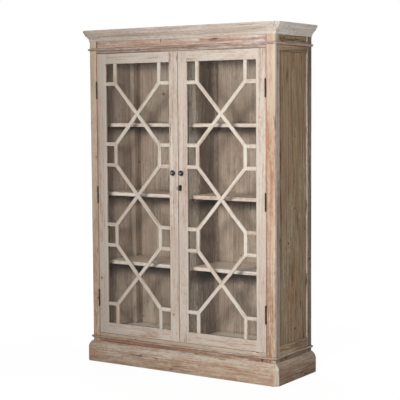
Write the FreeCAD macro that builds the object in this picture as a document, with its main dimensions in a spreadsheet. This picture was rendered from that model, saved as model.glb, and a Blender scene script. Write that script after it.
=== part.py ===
# Glazed bookcase: a free-standing pine case with two glass doors behind a lattice of thin bars.
# X runs to the right, Y to the back and Z up, in millimetres.
# The origin is on the floor, under the middle of the overall width and depth.
# The face is the front plane of the face frame and of the closed doors.
import FreeCAD, Part
import math
import os
import re

import Sketcher
from FreeCAD import Placement, Rotation, Vector

doc = FreeCAD.newDocument("glazed_bookcase")
sheet = doc.addObject("Spreadsheet::Sheet", "Sizes")

# Driving sizes, by the piece that they belong to
SIZES = {
    # Whole case
    "overall_height": 2100, "case_width": 1346, "case_depth": 445, "corner_cant": 6,
    # Face frame
    "frame_thick": 24, "face_stile_width": 57, "header_drop": 145, "header_height": 34,
    "crown_height": 52, "base_rail_top": 183, "base_rail_height": 123, "frieze_thick": 16,
    # Corner posts and side frames
    "front_post_depth": 34, "rear_post_depth": 55, "post_width": 58, "side_thick": 25,
    "panel_thick": 16, "panel_recess": 8, "groove_depth": 10, "groove_gap": 0.1, "tongue_slack": 1,
    "side_top_rail_drop": 166, "side_top_rail_height": 63,
    "side_bottom_rail_bottom": 100, "side_bottom_rail_height": 120,
    # Boards of the case
    "top_thick": 18, "floor_thick": 22, "floor_drop": 1, "partition_thick": 20, "partition_gap": 0.5,
    "back_thick": 15, "back_bottom": 60, "back_board_count": 10, "back_board_gap": 0.3,
    "tongue_length": 6, "tongue_thick": 5, "back_rail_height": 40, "back_rail_thick": 20,
    # Shelves and their bearers
    "shelf_count": 3, "shelf_thick": 22, "shelf_setback": 135, "shelf_drop": 15,
    "shelf_end_gap": 0.5, "shelf_back_gap": 2, "shelf_notch_gap": 1,
    "bearer_height": 20, "bearer_width": 24, "bearer_setback": 6, "bearer_back_gap": 1,
    # Cornice
    "cornice_out": 40, "cornice_height": 70, "cornice_foot_out": 3, "cornice_turn_out": 16.8,
    "cornice_turn_height": 28.4, "cornice_cove_radius": 36, "cornice_swell_out": 36,
    "cornice_swell_height": 56, "cornice_swell_radius": 57,
    # Beads under the frieze and over the neck of the plinth
    "bead_height": 14, "bead_flat_out": 6.5, "bead_radius": 7.2,
    "upper_bead_drop": 126, "base_bead_bottom": 149,
    # Plinth
    "plinth_out": 32, "plinth_height": 128, "plinth_face_height": 90, "plinth_top_out": 4,
    "plinth_radius": 60, "mitre_degrees": 22.5,
    # Doors
    "door_thick": 24, "door_gap": 2, "meeting_gap": 3, "door_stile_width": 66,
    "meeting_stile_width": 64, "door_top_rail_height": 64, "door_bottom_rail_height": 68,
    "tenon_length": 34, "tenon_thick": 8, "tenon_depth": 8, "tenon_shoulder": 12,
    "tenon_gap": 0.2, "rebate_width": 10, "rebate_depth": 14, "door_bevel": 3,
    # Glass and its beads
    "glass_thick": 3, "glass_gap": 1, "glazing_bead_width": 9,
    # Lattice
    "bar_width": 22, "bar_thick": 12, "bar_setback": 1.5, "bar_column_inset": 74,
    "cross_count": 3, "cross_margin": 124, "cross_gap": 130,
    # Knobs
    "knob_height": 1221, "knob_offset": 31, "rose_radius": 9, "rose_height": 2.5,
    "neck_radius": 5.5, "neck_height": 9, "knob_radius": 16, "knob_rim_height": 17,
    "knob_length": 26, "knob_flare_radius": 9,
    "stud_radius": 3, "stud_length": 18, "stud_gap": 0.05,
    # Butt hinges
    "hinge_length": 105, "hinge_top_drop": 228, "hinge_bottom_lift": 225,
    "barrel_radius": 4.5, "barrel_gap": 0.5, "pin_radius": 2.5, "pin_gap": 0.05,
    "pin_tip_radius": 3.4, "pin_tip_length": 2.5, "pin_tip_gap": 0.1, "knuckle_count": 5,
    "knuckle_gap": 0.3, "leaf_thick": 1.8, "leaf_gap": 0.4, "leaf_depth": 19, "leaf_edge_gap": 0.2,
    # Hinge screws
    "screw_count": 3, "screw_spread": 34, "screw_depth": 10, "screw_head_radius": 3.4,
    "screw_head_length": 1.5, "screw_radius": 1.6, "screw_length": 14, "screw_gap": 0.05,
    # Lock of the right door
    "lock_height": 1130, "lock_offset": 16, "lock_width": 40, "lock_below": 12, "lock_above": 28,
    "lock_thick": 13, "lock_wall": 1.5, "lock_setback": 5.5, "lock_gap": 0.1,
    "lock_bolt_thick": 6, "lock_bolt_tall": 10, "lock_bolt_length": 30, "lock_bolt_rise": 9,
    "lock_bolt_gap": 0.2, "lock_bolt_setback": 0.2,
    "keeper_thick": 1.2, "keeper_width": 14, "keeper_tall": 40, "keeper_pocket": 11,
    "keeper_slot_gap": 1,
    # Escutcheon and key
    "escutcheon_width": 21, "escutcheon_tall": 38, "escutcheon_thick": 1.8,
    "key_hole_radius": 3.5, "key_slot_gap": 0.7, "key_radius": 2.5, "key_gap": 0.06,
    "key_shank_out": 21, "key_bit_length": 5, "key_bit_reach": 7.5, "key_bit_thick": 2,
    "key_bit_gap": 1, "key_bow_radius": 8, "key_bow_thick": 1.9, "key_collar_radius": 4.2,
    "key_collar_length": 3, "key_collar_out": 12,
    # Sliding bolts inside the left door
    "rod_radius": 3, "rod_gap": 0.05, "rod_length": 90, "rod_offset": 36, "rod_lift": 0.5,
    "rod_end_gap": 3, "rod_hole_gap": 0.6, "rod_hole_depth": 20,
    "bolt_plate_thick": 1.5, "bolt_plate_width": 15, "bolt_plate_length": 62,
    "bolt_plate_inset": 12, "bridge_length": 8, "bridge_wall": 1.5,
    "thumb_radius": 2.5, "thumb_length": 9,
    # Extra length of a cutting shape past the surface that it cuts
    "overrun": 1,
}

for row, (alias, value) in enumerate(SIZES.items(), start=1):
    sheet.set(f"A{row}", alias)
    sheet.set(f"B{row}", str(value))
    sheet.setAlias(f"B{row}", alias)
doc.recompute()

gauge = doc.addObject("App::FeaturePython", "Gauge")
gauge.addProperty("App::PropertyFloat", "reading")

LEFT = -1
RIGHT = 1
HALF_TURN = 180
QUARTER_TURN = 90
EIGHTH_TURN = 45

# Distances from the middle of the case, to either side
HALF = "(case_width / 2)"
FRAME_EDGE = f"({HALF} - face_stile_width)"
POST_EDGE = f"({HALF} - post_width)"
SIDE_INSIDE = f"({HALF} - side_thick)"
PANEL_OUTSIDE = f"({HALF} - panel_recess)"
PANEL_INSIDE = f"({PANEL_OUTSIDE} - panel_thick)"
DOOR_EDGE = f"({FRAME_EDGE} - door_gap)"
STILE_EDGE = f"({DOOR_EDGE} - door_stile_width)"
MEETING_EDGE = "(meeting_gap / 2)"
OPENING_EDGE = f"({MEETING_EDGE} + meeting_stile_width)"
HINGE_OUT = f"({FRAME_EDGE} - door_gap / 2)"
PARTITION_SIDE = "(partition_thick / 2)"

# Depths behind the face
FRONT_POST_BACK = "(frame_thick + front_post_depth)"
REAR_POST_FRONT = "(case_depth - rear_post_depth)"
INSIDE_BACK = "(case_depth - back_thick)"
HINGE_DEPTH = "(-(barrel_radius + barrel_gap))"
GLASS_BACK = "(rebate_depth + glass_thick)"
BAR_BACK = "(bar_setback + bar_thick)"
ROD_DEPTH = "(door_thick + bolt_plate_thick + rod_lift + rod_radius)"

# Heights above the floor
CASE_TOP = "(overall_height - top_thick)"
FLOOR_TOP = "(base_rail_top - floor_drop)"
FLOOR_UNDER = f"({FLOOR_TOP} - floor_thick)"
HEADER_BOTTOM = "(overall_height - header_drop)"
HEADER_TOP = f"({HEADER_BOTTOM} + header_height)"
CROWN_BOTTOM = f"({CASE_TOP} - crown_height)"
SIDE_RAIL_BOTTOM = "(overall_height - side_top_rail_drop)"
SIDE_RAIL_TOP = f"({SIDE_RAIL_BOTTOM} + side_top_rail_height)"
SIDE_BOTTOM_TOP = "(side_bottom_rail_bottom + side_bottom_rail_height)"
DOOR_BOTTOM = "(base_rail_top + door_gap)"
DOOR_TOP = f"({HEADER_BOTTOM} - door_gap)"
OPENING_BOTTOM = f"({DOOR_BOTTOM} + door_bottom_rail_height)"
OPENING_TOP = f"({DOOR_TOP} - door_top_rail_height)"
SHELF_PITCH = f"(({DOOR_TOP} - {DOOR_BOTTOM}) / (shelf_count + 1))"
CROSS_ROOM = f"({OPENING_TOP} - {OPENING_BOTTOM} - 2 * cross_margin - (cross_count - 1) * cross_gap)"
CROSS_HALF = f"({CROSS_ROOM} / (2 * cross_count))"
CROSS_PITCH = f"(2 * {CROSS_HALF} + cross_gap)"
HINGE_TOP = f"({DOOR_TOP} - hinge_top_drop)"
HINGE_BOTTOM = f"({DOOR_BOTTOM} + hinge_bottom_lift)"

FACE = "((cornice_out - case_depth) / 2)"
HINGES = {
    "hinge_top": HINGE_TOP,
    "hinge_middle": f"(({HINGE_TOP} + {HINGE_BOTTOM}) / 2)",
    "hinge_bottom": HINGE_BOTTOM,
}

# Turns that point the axis of a round shape along a direction
TURNS = {
    "+x": Rotation(Vector(0, 1, 0), QUARTER_TURN),
    "-x": Rotation(Vector(0, 1, 0), -QUARTER_TURN),
    "+y": Rotation(Vector(1, 0, 0), -QUARTER_TURN),
    "-y": Rotation(Vector(1, 0, 0), QUARTER_TURN),
    "+z": Rotation(),
}

nodes = {}
corners = {}


# Expressions

def formula(text):
    """An expression with each size bound to its cell of the sheet."""
    return re.sub(r"[a-z_]+", lambda found: bound(found.group(0)), str(text))


def bound(word):
    """A size as a reference to its cell, and any other word as it stands."""
    return f"Sizes.{word}" if word in SIZES else word


def number(text):
    """The value that an expression of sizes has now."""
    gauge.setExpression("reading", formula(text))
    gauge.recompute()
    return gauge.reading


def deep(start, end):
    """A span of Y between two depths behind the face."""
    return f"({FACE} + ({start}))", f"({FACE} + ({end}))"


def across(side, inner, outer):
    """A span of X on one side, between two distances from the middle."""
    if side == RIGHT:
        return f"({inner})", f"({outer})"
    return f"(-({outer}))", f"(-({inner}))"


def both_sides(outer):
    """A span of X from one side to the other, at the same distance from the middle."""
    return f"(-({outer}))", f"({outer})"


def grown(span, amount):
    """A span with the same amount added at both ends."""
    return f"({span[0]} - {amount})", f"({span[1]} + {amount})"


def about(middle, size):
    """A span of a given size about its middle."""
    return f"({middle} - {size} / 2)", f"({middle} + {size} / 2)"


# Shapes inside a body

def new_body(name, corner):
    """A body whose own origin is at a corner given by three expressions."""
    body = doc.addObject("PartDesign::Body", name)
    body.Label = name
    corners[body.Name] = corner
    for axis, place in zip("xyz", corner):
        body.setExpression(f"Placement.Base.{axis}", formula(place))
    return body


def origin_plane(body, role):
    """One of the origin planes of a body."""
    return next(item for item in body.Origin.OriginFeatures if item.Role == role)


def new_sketch(body, role, name):
    """A sketch on an origin plane of its own body."""
    sketch = body.newObject("Sketcher::SketchObject", name)
    sketch.AttachmentSupport = [(origin_plane(body, role), "")]
    sketch.MapMode = "FlatFace"
    return sketch


def rectangle(sketch, width, height, centred):
    """A rectangle with one corner, or else its middle, at the origin of the sketch."""
    points = [Vector(-1, -1, 0), Vector(1, -1, 0), Vector(1, 1, 0), Vector(-1, 1, 0)]
    if not centred:
        points = [point + Vector(1, 1, 0) for point in points]
    for start, end in zip(points, points[1:] + points[:1]):
        sketch.addGeometry(Part.LineSegment(start, end))
    for index in range(len(points)):
        following = (index + 1) % len(points)
        sketch.addConstraint(Sketcher.Constraint("Coincident", index, 2, following, 1))
    sketch.addConstraint([Sketcher.Constraint("Horizontal", 0), Sketcher.Constraint("Horizontal", 2),
                          Sketcher.Constraint("Vertical", 1), Sketcher.Constraint("Vertical", 3)])
    if centred:
        sketch.addConstraint(Sketcher.Constraint("Symmetric", 0, 1, 1, 2, -1, 1))
    else:
        sketch.addConstraint(Sketcher.Constraint("Coincident", 0, 1, -1, 1))
    wide = sketch.addConstraint(Sketcher.Constraint("DistanceX", 0, 1, 0, 2, 2))
    tall = sketch.addConstraint(Sketcher.Constraint("DistanceY", 1, 1, 1, 2, 2))
    sketch.setExpression(f"Constraints[{wide}]", formula(width))
    sketch.setExpression(f"Constraints[{tall}]", formula(height))


def padded(body, sketch, length, backwards):
    """A pad of a sketch by a length."""
    pad = body.newObject("PartDesign::Pad", f"{body.Name}_pad")
    pad.Profile = sketch
    pad.Reversed = backwards
    pad.setExpression("Length", formula(length))
    return pad


def board(name, x_span, y_span, z_span):
    """A squared board between three spans."""
    body = new_body(name, (x_span[0], y_span[0], z_span[0]))
    sketch = new_sketch(body, "XY_Plane", f"{name}_outline")
    rectangle(sketch, f"{x_span[1]} - {x_span[0]}", f"{y_span[1]} - {y_span[0]}", False)
    padded(body, sketch, f"{z_span[1]} - {z_span[0]}", False)
    return body


def place_feature(body, feature, turn, places):
    """The place of a feature inside its body, from expressions in the part's frame."""
    feature.MapMode = "Deactivated"
    feature.Placement = Placement(Vector(), turn)
    for axis, place, home in zip("xyz", places, corners[body.Name]):
        feature.setExpression(f"Placement.Base.{axis}", formula(f"({place}) - ({home})"))


def box(body, kind, x_span, y_span, z_span):
    """A box added to or taken from a body, between three spans."""
    feature = body.newObject(f"PartDesign::{kind}Box", f"{body.Name}_box")
    spans = (x_span, y_span, z_span)
    for size, span in zip(("Length", "Width", "Height"), spans):
        feature.setExpression(size, formula(f"{span[1]} - {span[0]}"))
    place_feature(body, feature, Rotation(), [span[0] for span in spans])


def rod(body, kind, start, direction, radius, length):
    """A cylinder added to or taken from a body, from the middle of one end."""
    feature = body.newObject(f"PartDesign::{kind}Cylinder", f"{body.Name}_rod")
    feature.setExpression("Radius", formula(radius))
    feature.setExpression("Height", formula(length))
    place_feature(body, feature, TURNS[direction], start)


def cone(body, kind, start, direction, radii, length):
    """A cone frustum added to or taken from a body, from the middle of its wide end."""
    feature = body.newObject(f"PartDesign::{kind}Cone", f"{body.Name}_cone")
    feature.setExpression("Radius1", formula(radii[0]))
    feature.setExpression("Radius2", formula(radii[1]))
    feature.setExpression("Height", formula(length))
    place_feature(body, feature, TURNS[direction], start)


def cant(body, axis, places, leg, length):
    """A square edge cut off at an eighth of a turn; the edge starts at the given place."""
    feature = body.newObject("PartDesign::SubtractiveBox", f"{body.Name}_cant")
    side = f"{leg} * sqrt(2)"
    run = f"{length} + 2 * overrun"
    x_place, y_place, z_place = places
    if axis == "z":
        sizes = (side, side, run)
        start = (x_place, f"{y_place} - {leg}", f"{z_place} - overrun")
        turn = Rotation(Vector(0, 0, 1), EIGHTH_TURN)
    else:
        sizes = (run, side, side)
        start = (f"{x_place} - overrun", y_place, f"{z_place} - {leg}")
        turn = Rotation(Vector(1, 0, 0), EIGHTH_TURN)
    for size, text in zip(("Length", "Width", "Height"), sizes):
        feature.setExpression(size, formula(text))
    place_feature(body, feature, turn, start)


def arc_between(start, end, radius, turning):
    """An arc between two points, turning left for 1 and right for -1."""
    chord = end - start
    left = Vector(-chord.y, chord.x, 0).normalize()
    offset = math.sqrt(radius ** 2 - (chord.Length / 2) ** 2)
    centre = (start + end) / 2 + left * offset * turning
    first, last = (start, end) if turning > 0 else (end, start)
    angles = [math.atan2(point.y - centre.y, point.x - centre.x) for point in (first, last)]
    if angles[1] < angles[0]:
        angles[1] += 2 * math.pi
    circle = Part.Circle(centre, Vector(0, 0, 1), radius)
    return Part.ArcOfCircle(circle, angles[0], angles[1])


def outline(sketch, points, flip):
    """A closed outline; each point is (across, up) or (across, up, radius, turn) for an arc to it.

    The outline runs counterclockwise when it isn't flipped. Flip is -1 where across counts
    to the left of the sketch.
    """
    spots = [Vector(flip * number(point[0]), number(point[1]), 0) for point in points]
    ends = []
    for index, point in enumerate(points[1:] + points[:1]):
        start, end = spots[index], spots[(index + 1) % len(spots)]
        if len(point) == 2:
            sketch.addGeometry(Part.LineSegment(start, end))
            ends.append((1, 2))
            continue
        turning = point[3] * flip
        geometry = sketch.addGeometry(arc_between(start, end, number(point[2]), turning))
        ends.append((1, 2) if turning > 0 else (2, 1))
        rule = sketch.addConstraint(Sketcher.Constraint("Radius", geometry, number(point[2])))
        sketch.setExpression(f"Constraints[{rule}]", formula(point[2]))
    for index, (first, last) in enumerate(ends):
        following = (index + 1) % len(ends)
        join = Sketcher.Constraint("Coincident", index, last, following, ends[following][0])
        sketch.addConstraint(join)
    for index, point in enumerate(points):
        pin_down(sketch, index, ends[index][0], point, flip)


def pin_down(sketch, geometry, end, point, flip):
    """One corner of an outline held at its two sizes."""
    sideways, up = number(point[0]), number(point[1])
    if point[0] == "0":
        sketch.addConstraint(Sketcher.Constraint("PointOnObject", geometry, end, -2))
    elif flip > 0:
        rule = sketch.addConstraint(Sketcher.Constraint("DistanceX", -1, 1, geometry, end, sideways))
        sketch.setExpression(f"Constraints[{rule}]", formula(point[0]))
    else:
        rule = sketch.addConstraint(Sketcher.Constraint("DistanceX", geometry, end, -1, 1, sideways))
        sketch.setExpression(f"Constraints[{rule}]", formula(point[0]))
    if point[1] == "0":
        sketch.addConstraint(Sketcher.Constraint("PointOnObject", geometry, end, -1))
    else:
        rule = sketch.addConstraint(Sketcher.Constraint("DistanceY", -1, 1, geometry, end, up))
        sketch.setExpression(f"Constraints[{rule}]", formula(point[1]))


def keep(name, pieces):
    """A node made of one piece, or of several separate pieces in a group."""
    if len(pieces) == 1:
        nodes[name] = pieces[0]
        return pieces[0]
    group = doc.addObject("Part::Compound", name)
    group.Label = name
    group.Links = pieces
    nodes[name] = group
    return group


# Joints between boards

TENON_SPAN = deep("tenon_depth", "tenon_depth + tenon_thick")


def tenons(body, x_span, z_span):
    """A stub tenon at both ends of a cross rail."""
    height = grown(z_span, "(-tenon_shoulder)")
    box(body, "Additive", (f"({x_span[0]} - tenon_length)", x_span[0]), TENON_SPAN, height)
    box(body, "Additive", (x_span[1], f"({x_span[1]} + tenon_length)"), TENON_SPAN, height)


def mortise(body, side, edge, inwards, z_span):
    """A mortise for a tenon that enters at an edge, towards or away from the middle."""
    reach = "(tenon_length + tenon_gap)"
    span = (f"({edge} - {reach})", edge) if inwards else (edge, f"({edge} + {reach})")
    height = grown(grown(z_span, "(-tenon_shoulder)"), "tenon_gap")
    box(body, "Subtractive", across(side, *span), grown(TENON_SPAN, "tenon_gap"), height)


# Face frame

HEADER_SPAN = (HEADER_BOTTOM, HEADER_TOP)
CROWN_SPAN = (CROWN_BOTTOM, CASE_TOP)
BASE_SPAN = ("(base_rail_top - base_rail_height)", "base_rail_top")


def screw_heights(hinge):
    """The heights of the screws of one hinge."""
    count = int(number("screw_count"))
    return [f"({hinge} + ({index} - (screw_count - 1) / 2) * screw_spread)" for index in range(count)]


def hinge_seats(body, side, edge, outwards):
    """The recesses and the screw holes for the three hinge leaves in the edge of a stile."""
    seat = "(leaf_thick + leaf_gap / 2 - door_gap / 2)"
    span = (edge, f"({edge} + {seat})") if outwards else (f"({edge} - {seat})", edge)
    direction = "+x" if (side == RIGHT) == outwards else "-x"
    for hinge in HINGES.values():
        height = grown(about(hinge, "hinge_length"), "leaf_edge_gap")
        depth = deep("-overrun", "leaf_depth + leaf_edge_gap")
        box(body, "Subtractive", across(side, *span), depth, height)
        for screw in screw_heights(hinge):
            start = (f"{side} * {edge}", deep("screw_depth", "0")[0], screw)
            rod(body, "Subtractive", start, direction, "screw_radius + screw_gap", "screw_length")


def face_stile(name, side):
    """A front stile of the case with its canted outer edge."""
    x_span = across(side, FRAME_EDGE, HALF)
    body = board(name, x_span, deep("0", "frame_thick"), ("0", CASE_TOP))
    cant(body, "z", (f"{side} * {HALF}", FACE, "0"), "corner_cant", CASE_TOP)
    for z_span in (HEADER_SPAN, CROWN_SPAN, BASE_SPAN):
        mortise(body, side, FRAME_EDGE, False, z_span)
    hinge_seats(body, side, FRAME_EDGE, True)
    keep(name, [body])


def face_rail(name, z_span):
    """A cross rail of the face frame with a tenon at both ends."""
    x_span = both_sides(FRAME_EDGE)
    body = board(name, x_span, deep("0", "frame_thick"), z_span)
    tenons(body, x_span, z_span)
    return body


face_stile("left_face_stile", LEFT)
face_stile("right_face_stile", RIGHT)
keep("header_rails", [face_rail("header_rail", HEADER_SPAN), face_rail("crown_rail", CROWN_SPAN)])
keep("base_rail", [face_rail("base_rail", BASE_SPAN)])
keep("frieze_panel", [board("frieze_panel", both_sides(FRAME_EDGE),
                            deep("frame_thick - frieze_thick", "frame_thick"),
                            (HEADER_TOP, CROWN_BOTTOM))])


# Corner posts, side panels and side rails

PANEL_SPAN_OUT = (PANEL_INSIDE, PANEL_OUTSIDE)
TONGUE = "(groove_depth - tongue_slack)"


def post(name, side, front):
    """A corner post with a groove for the side panel in the edge that faces the other post."""
    start, end = ("frame_thick", FRONT_POST_BACK) if front else (REAR_POST_FRONT, "case_depth")
    body = board(name, across(side, POST_EDGE, HALF), deep(start, end), ("0", CASE_TOP))
    groove = deep(f"{end} - groove_depth", f"{end} + overrun")
    if not front:
        groove = deep(f"{start} - overrun", f"{start} + groove_depth")
    x_span = grown(across(side, *PANEL_SPAN_OUT), "groove_gap")
    box(body, "Subtractive", x_span, groove, grown(("0", CASE_TOP), "overrun"))
    keep(name, [body])


def side_rail(name, side, z_span, grooved_below, grooved_above):
    """A side rail with stub tenons in the posts and grooves for the panels above and below it."""
    y_span = deep(FRONT_POST_BACK, REAR_POST_FRONT)
    body = board(name, across(side, SIDE_INSIDE, HALF), y_span, z_span)
    tongue = across(side, *PANEL_SPAN_OUT)
    box(body, "Additive", tongue, (f"({y_span[0]} - {TONGUE})", y_span[0]), z_span)
    box(body, "Additive", tongue, (y_span[1], f"({y_span[1]} + {TONGUE})"), z_span)
    groove = grown(tongue, "groove_gap")
    run = grown(y_span, "(groove_depth + overrun)")
    if grooved_below:
        ends = (f"({z_span[0]} - overrun)", f"({z_span[0]} + groove_depth)")
        box(body, "Subtractive", groove, run, ends)
    if grooved_above:
        ends = (f"({z_span[1]} - groove_depth)", f"({z_span[1]} + overrun)")
        box(body, "Subtractive", groove, run, ends)
    return body


def side_board(name, side, bottom, top):
    """A side panel whose edges enter the grooves of the posts and rails."""
    y_span = grown(deep(FRONT_POST_BACK, REAR_POST_FRONT), TONGUE)
    return board(name, across(side, *PANEL_SPAN_OUT), y_span, grown((bottom, top), TONGUE))


for word, side in (("left", LEFT), ("right", RIGHT)):
    post(f"{word}_front_post", side, True)
    post(f"{word}_rear_post", side, False)
    panel = side_board(f"{word}_side_panel", side, SIDE_BOTTOM_TOP, SIDE_RAIL_BOTTOM)
    keep(f"{word}_side_panel", [panel])
    keep(f"{word}_side_rails", [
        side_rail(f"{word}_bottom_side_rail", side, ("side_bottom_rail_bottom", SIDE_BOTTOM_TOP),
                  False, True),
        side_rail(f"{word}_top_side_rail", side, (SIDE_RAIL_BOTTOM, SIDE_RAIL_TOP), True, True),
        side_rail(f"{word}_crown_side_rail", side, CROWN_SPAN, True, False),
        side_board(f"{word}_side_frieze", side, SIDE_RAIL_TOP, CROWN_BOTTOM)])


# Boards of the case

top = board("case_top", both_sides(HALF), deep("0", "case_depth"), (CASE_TOP, "overall_height"))
for side in (LEFT, RIGHT):
    cant(top, "z", (f"{side} * {HALF}", FACE, CASE_TOP), "corner_cant", "top_thick")
keep("case_top", [top])

floor = board("case_floor", both_sides(SIDE_INSIDE), deep("frame_thick", INSIDE_BACK),
              (FLOOR_UNDER, FLOOR_TOP))
for side in (LEFT, RIGHT):
    ends = across(side, f"{POST_EDGE} - groove_gap", f"{SIDE_INSIDE} + overrun")
    height = grown((FLOOR_UNDER, FLOOR_TOP), "overrun")
    front_notch = deep("frame_thick - overrun", f"{FRONT_POST_BACK} + groove_gap")
    rear_notch = deep(f"{REAR_POST_FRONT} - groove_gap", f"{INSIDE_BACK} + overrun")
    box(floor, "Subtractive", ends, front_notch, height)
    box(floor, "Subtractive", ends, rear_notch, height)
rod(floor, "Subtractive", ("-rod_offset", deep(ROD_DEPTH, "0")[0], f"{FLOOR_TOP} - rod_hole_depth"),
    "+z", "rod_radius + rod_hole_gap", "rod_hole_depth + overrun")
keep("case_floor", [floor])

partition = board("centre_partition", both_sides(PARTITION_SIDE),
                  deep("frame_thick + partition_gap", INSIDE_BACK), (FLOOR_TOP, CASE_TOP))
box(partition, "Subtractive", grown(both_sides(PARTITION_SIDE), "overrun"),
    deep(f"{INSIDE_BACK} - back_rail_thick", f"{INSIDE_BACK} + overrun"),
    (f"({CASE_TOP} - back_rail_height)", f"({CASE_TOP} + overrun)"))
keep("centre_partition", [partition])


def back_board(index, count):
    """One upright board of the back, with a tongue on its right edge and a groove in its left."""
    pitch = f"(2 * {POST_EDGE} / back_board_count)"
    x_span = (f"({index} * {pitch} - {POST_EDGE} + back_board_gap / 2)",
              f"({index + 1} * {pitch} - {POST_EDGE} - back_board_gap / 2)")
    z_span = ("back_bottom", CASE_TOP)
    body = board(f"back_board_{index + 1}", x_span, deep(INSIDE_BACK, "case_depth"), z_span)
    middle = f"{INSIDE_BACK} + back_thick / 2"
    tongue = deep(f"{middle} - tongue_thick / 2", f"{middle} + tongue_thick / 2")
    if index < count - 1:
        ends = (x_span[1], f"({x_span[1]} + tongue_length)")
        box(body, "Additive", ends, tongue, z_span)
    if index > 0:
        ends = (f"({x_span[0]} - overrun)", f"({x_span[0]} + tongue_length)")
        box(body, "Subtractive", ends, grown(tongue, "groove_gap"), grown(z_span, "overrun"))
    return body


board_count = int(number("back_board_count"))
keep("back_boards", [back_board(index, board_count) for index in range(board_count)])
keep("back_rails", [
    board("top_back_rail", both_sides(POST_EDGE), deep(f"{INSIDE_BACK} - back_rail_thick", INSIDE_BACK),
          (f"({CASE_TOP} - back_rail_height)", CASE_TOP)),
    board("bottom_back_rail", both_sides(POST_EDGE),
          deep(f"{INSIDE_BACK} - back_rail_thick", INSIDE_BACK),
          (f"({FLOOR_UNDER} - back_rail_height)", FLOOR_UNDER)),
    board("rear_plinth_board", both_sides(POST_EDGE), deep(INSIDE_BACK, "case_depth"),
          ("0", "back_bottom"))])


# Shelves and bearers

def shelf_bottom(index):
    """The height of the underside of a shelf, counted from the lowest."""
    return f"({DOOR_BOTTOM} + {index + 1} * {SHELF_PITCH} - shelf_drop)"


def shelf(name, side, index):
    """A shelf between the partition and the side, notched round the rear post."""
    z_span = (shelf_bottom(index), f"({shelf_bottom(index)} + shelf_thick)")
    x_span = across(side, f"{PARTITION_SIDE} + shelf_end_gap", f"{SIDE_INSIDE} - shelf_end_gap")
    body = board(name, x_span, deep("shelf_setback", f"{INSIDE_BACK} - shelf_back_gap"), z_span)
    notch = deep(f"{REAR_POST_FRONT} - shelf_notch_gap", INSIDE_BACK)
    ends = across(side, f"{POST_EDGE} - shelf_notch_gap", HALF)
    box(body, "Subtractive", ends, notch, grown(z_span, "overrun"))
    return body


def bearer(name, side, x_span, y_end, index):
    """A bearer under one end of a shelf."""
    z_span = (f"({shelf_bottom(index)} - bearer_height)", shelf_bottom(index))
    return board(name, across(side, *x_span), deep("shelf_setback + bearer_setback", y_end), z_span)


bearers = []
shelf_total = int(number("shelf_count"))
for word, side in (("left", LEFT), ("right", RIGHT)):
    shelves = []
    for index in range(shelf_total):
        shelves.append(shelf(f"{word}_shelf_{index + 1}", side, index))
        outer = (f"{PANEL_INSIDE} - bearer_width", PANEL_INSIDE)
        bearers.append(bearer(f"{word}_side_bearer_{index + 1}", side, outer,
                              f"{REAR_POST_FRONT} - bearer_back_gap", index))
        inner = (PARTITION_SIDE, f"{PARTITION_SIDE} + bearer_width")
        bearers.append(bearer(f"{word}_partition_bearer_{index + 1}", side, inner,
                              f"{INSIDE_BACK} - shelf_back_gap", index))
    keep(f"{word}_shelves", shelves)
keep("shelf_bearers", bearers)


# Mouldings round the front and sides

CORNICE = [("0", "0"), ("cornice_foot_out", "0"),
           ("cornice_turn_out", "cornice_turn_height", "cornice_cove_radius", -1),
           ("cornice_swell_out", "cornice_swell_height", "cornice_swell_radius", 1),
           ("cornice_out", "cornice_swell_height"), ("cornice_out", "cornice_height"),
           ("0", "cornice_height")]
BEAD = [("0", "0"), ("bead_flat_out", "0"), ("bead_flat_out", "bead_height", "bead_radius", 1),
        ("0", "bead_height")]
PLINTH = [("0", "0"), ("plinth_out", "0"), ("plinth_out", "plinth_face_height"),
          ("plinth_top_out", "plinth_height", "plinth_radius", 1), ("0", "plinth_height")]
REACH = "(plinth_out + cornice_out)"


def mitre(body, place, at_end):
    """A mitre through a length of moulding, at a point on its back face in its own frame."""
    feature = body.newObject("PartDesign::SubtractiveBox", f"{body.Name}_mitre")
    feature.MapMode = "Deactivated"
    feature.setExpression("Length", formula(f"2 * {REACH}"))
    feature.setExpression("Width", formula(f"2 * {REACH}"))
    feature.setExpression("Height", formula("cornice_height + plinth_height"))
    feature.Placement = Placement(Vector(), Rotation(Vector(0, 0, 1), EIGHTH_TURN))
    inwards = "-1" if at_end else "1"
    feature.setExpression("Placement.Base.x", formula(f"{place} + {REACH} * sin(mitre_degrees)"))
    feature.setExpression("Placement.Base.y", formula(f"{inwards} * {REACH} * cos(mitre_degrees)"))
    turn = "mitre_degrees" if at_end else f"{HALF_TURN} - mitre_degrees"
    feature.setExpression("Placement.Rotation.Angle", formula(turn))


def moulding(name, profile, bottom, start, degrees, length, mitred):
    """A length of moulding along a face, with its outer side to the right of its run."""
    allowance = REACH if mitred[0] else "0"
    turn = Rotation(Vector(0, 0, 1), degrees)
    step = turn.multVec(Vector(1, 0, 0))
    place = (f"({start[0]} - {allowance} * {step.x})", f"({start[1]} - {allowance} * {step.y})", bottom)
    body = new_body(name, place)
    body.Placement = Placement(body.Placement.Base, turn)
    sketch = new_sketch(body, "YZ_Plane", f"{name}_outline")
    outline(sketch, profile, -1)
    extra = REACH if mitred[1] else "0"
    padded(body, sketch, f"{length} + {allowance} + {extra}", False)
    if mitred[0]:
        mitre(body, allowance, False)
    if mitred[1]:
        mitre(body, f"({length} + {allowance})", True)
    return body


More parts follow.
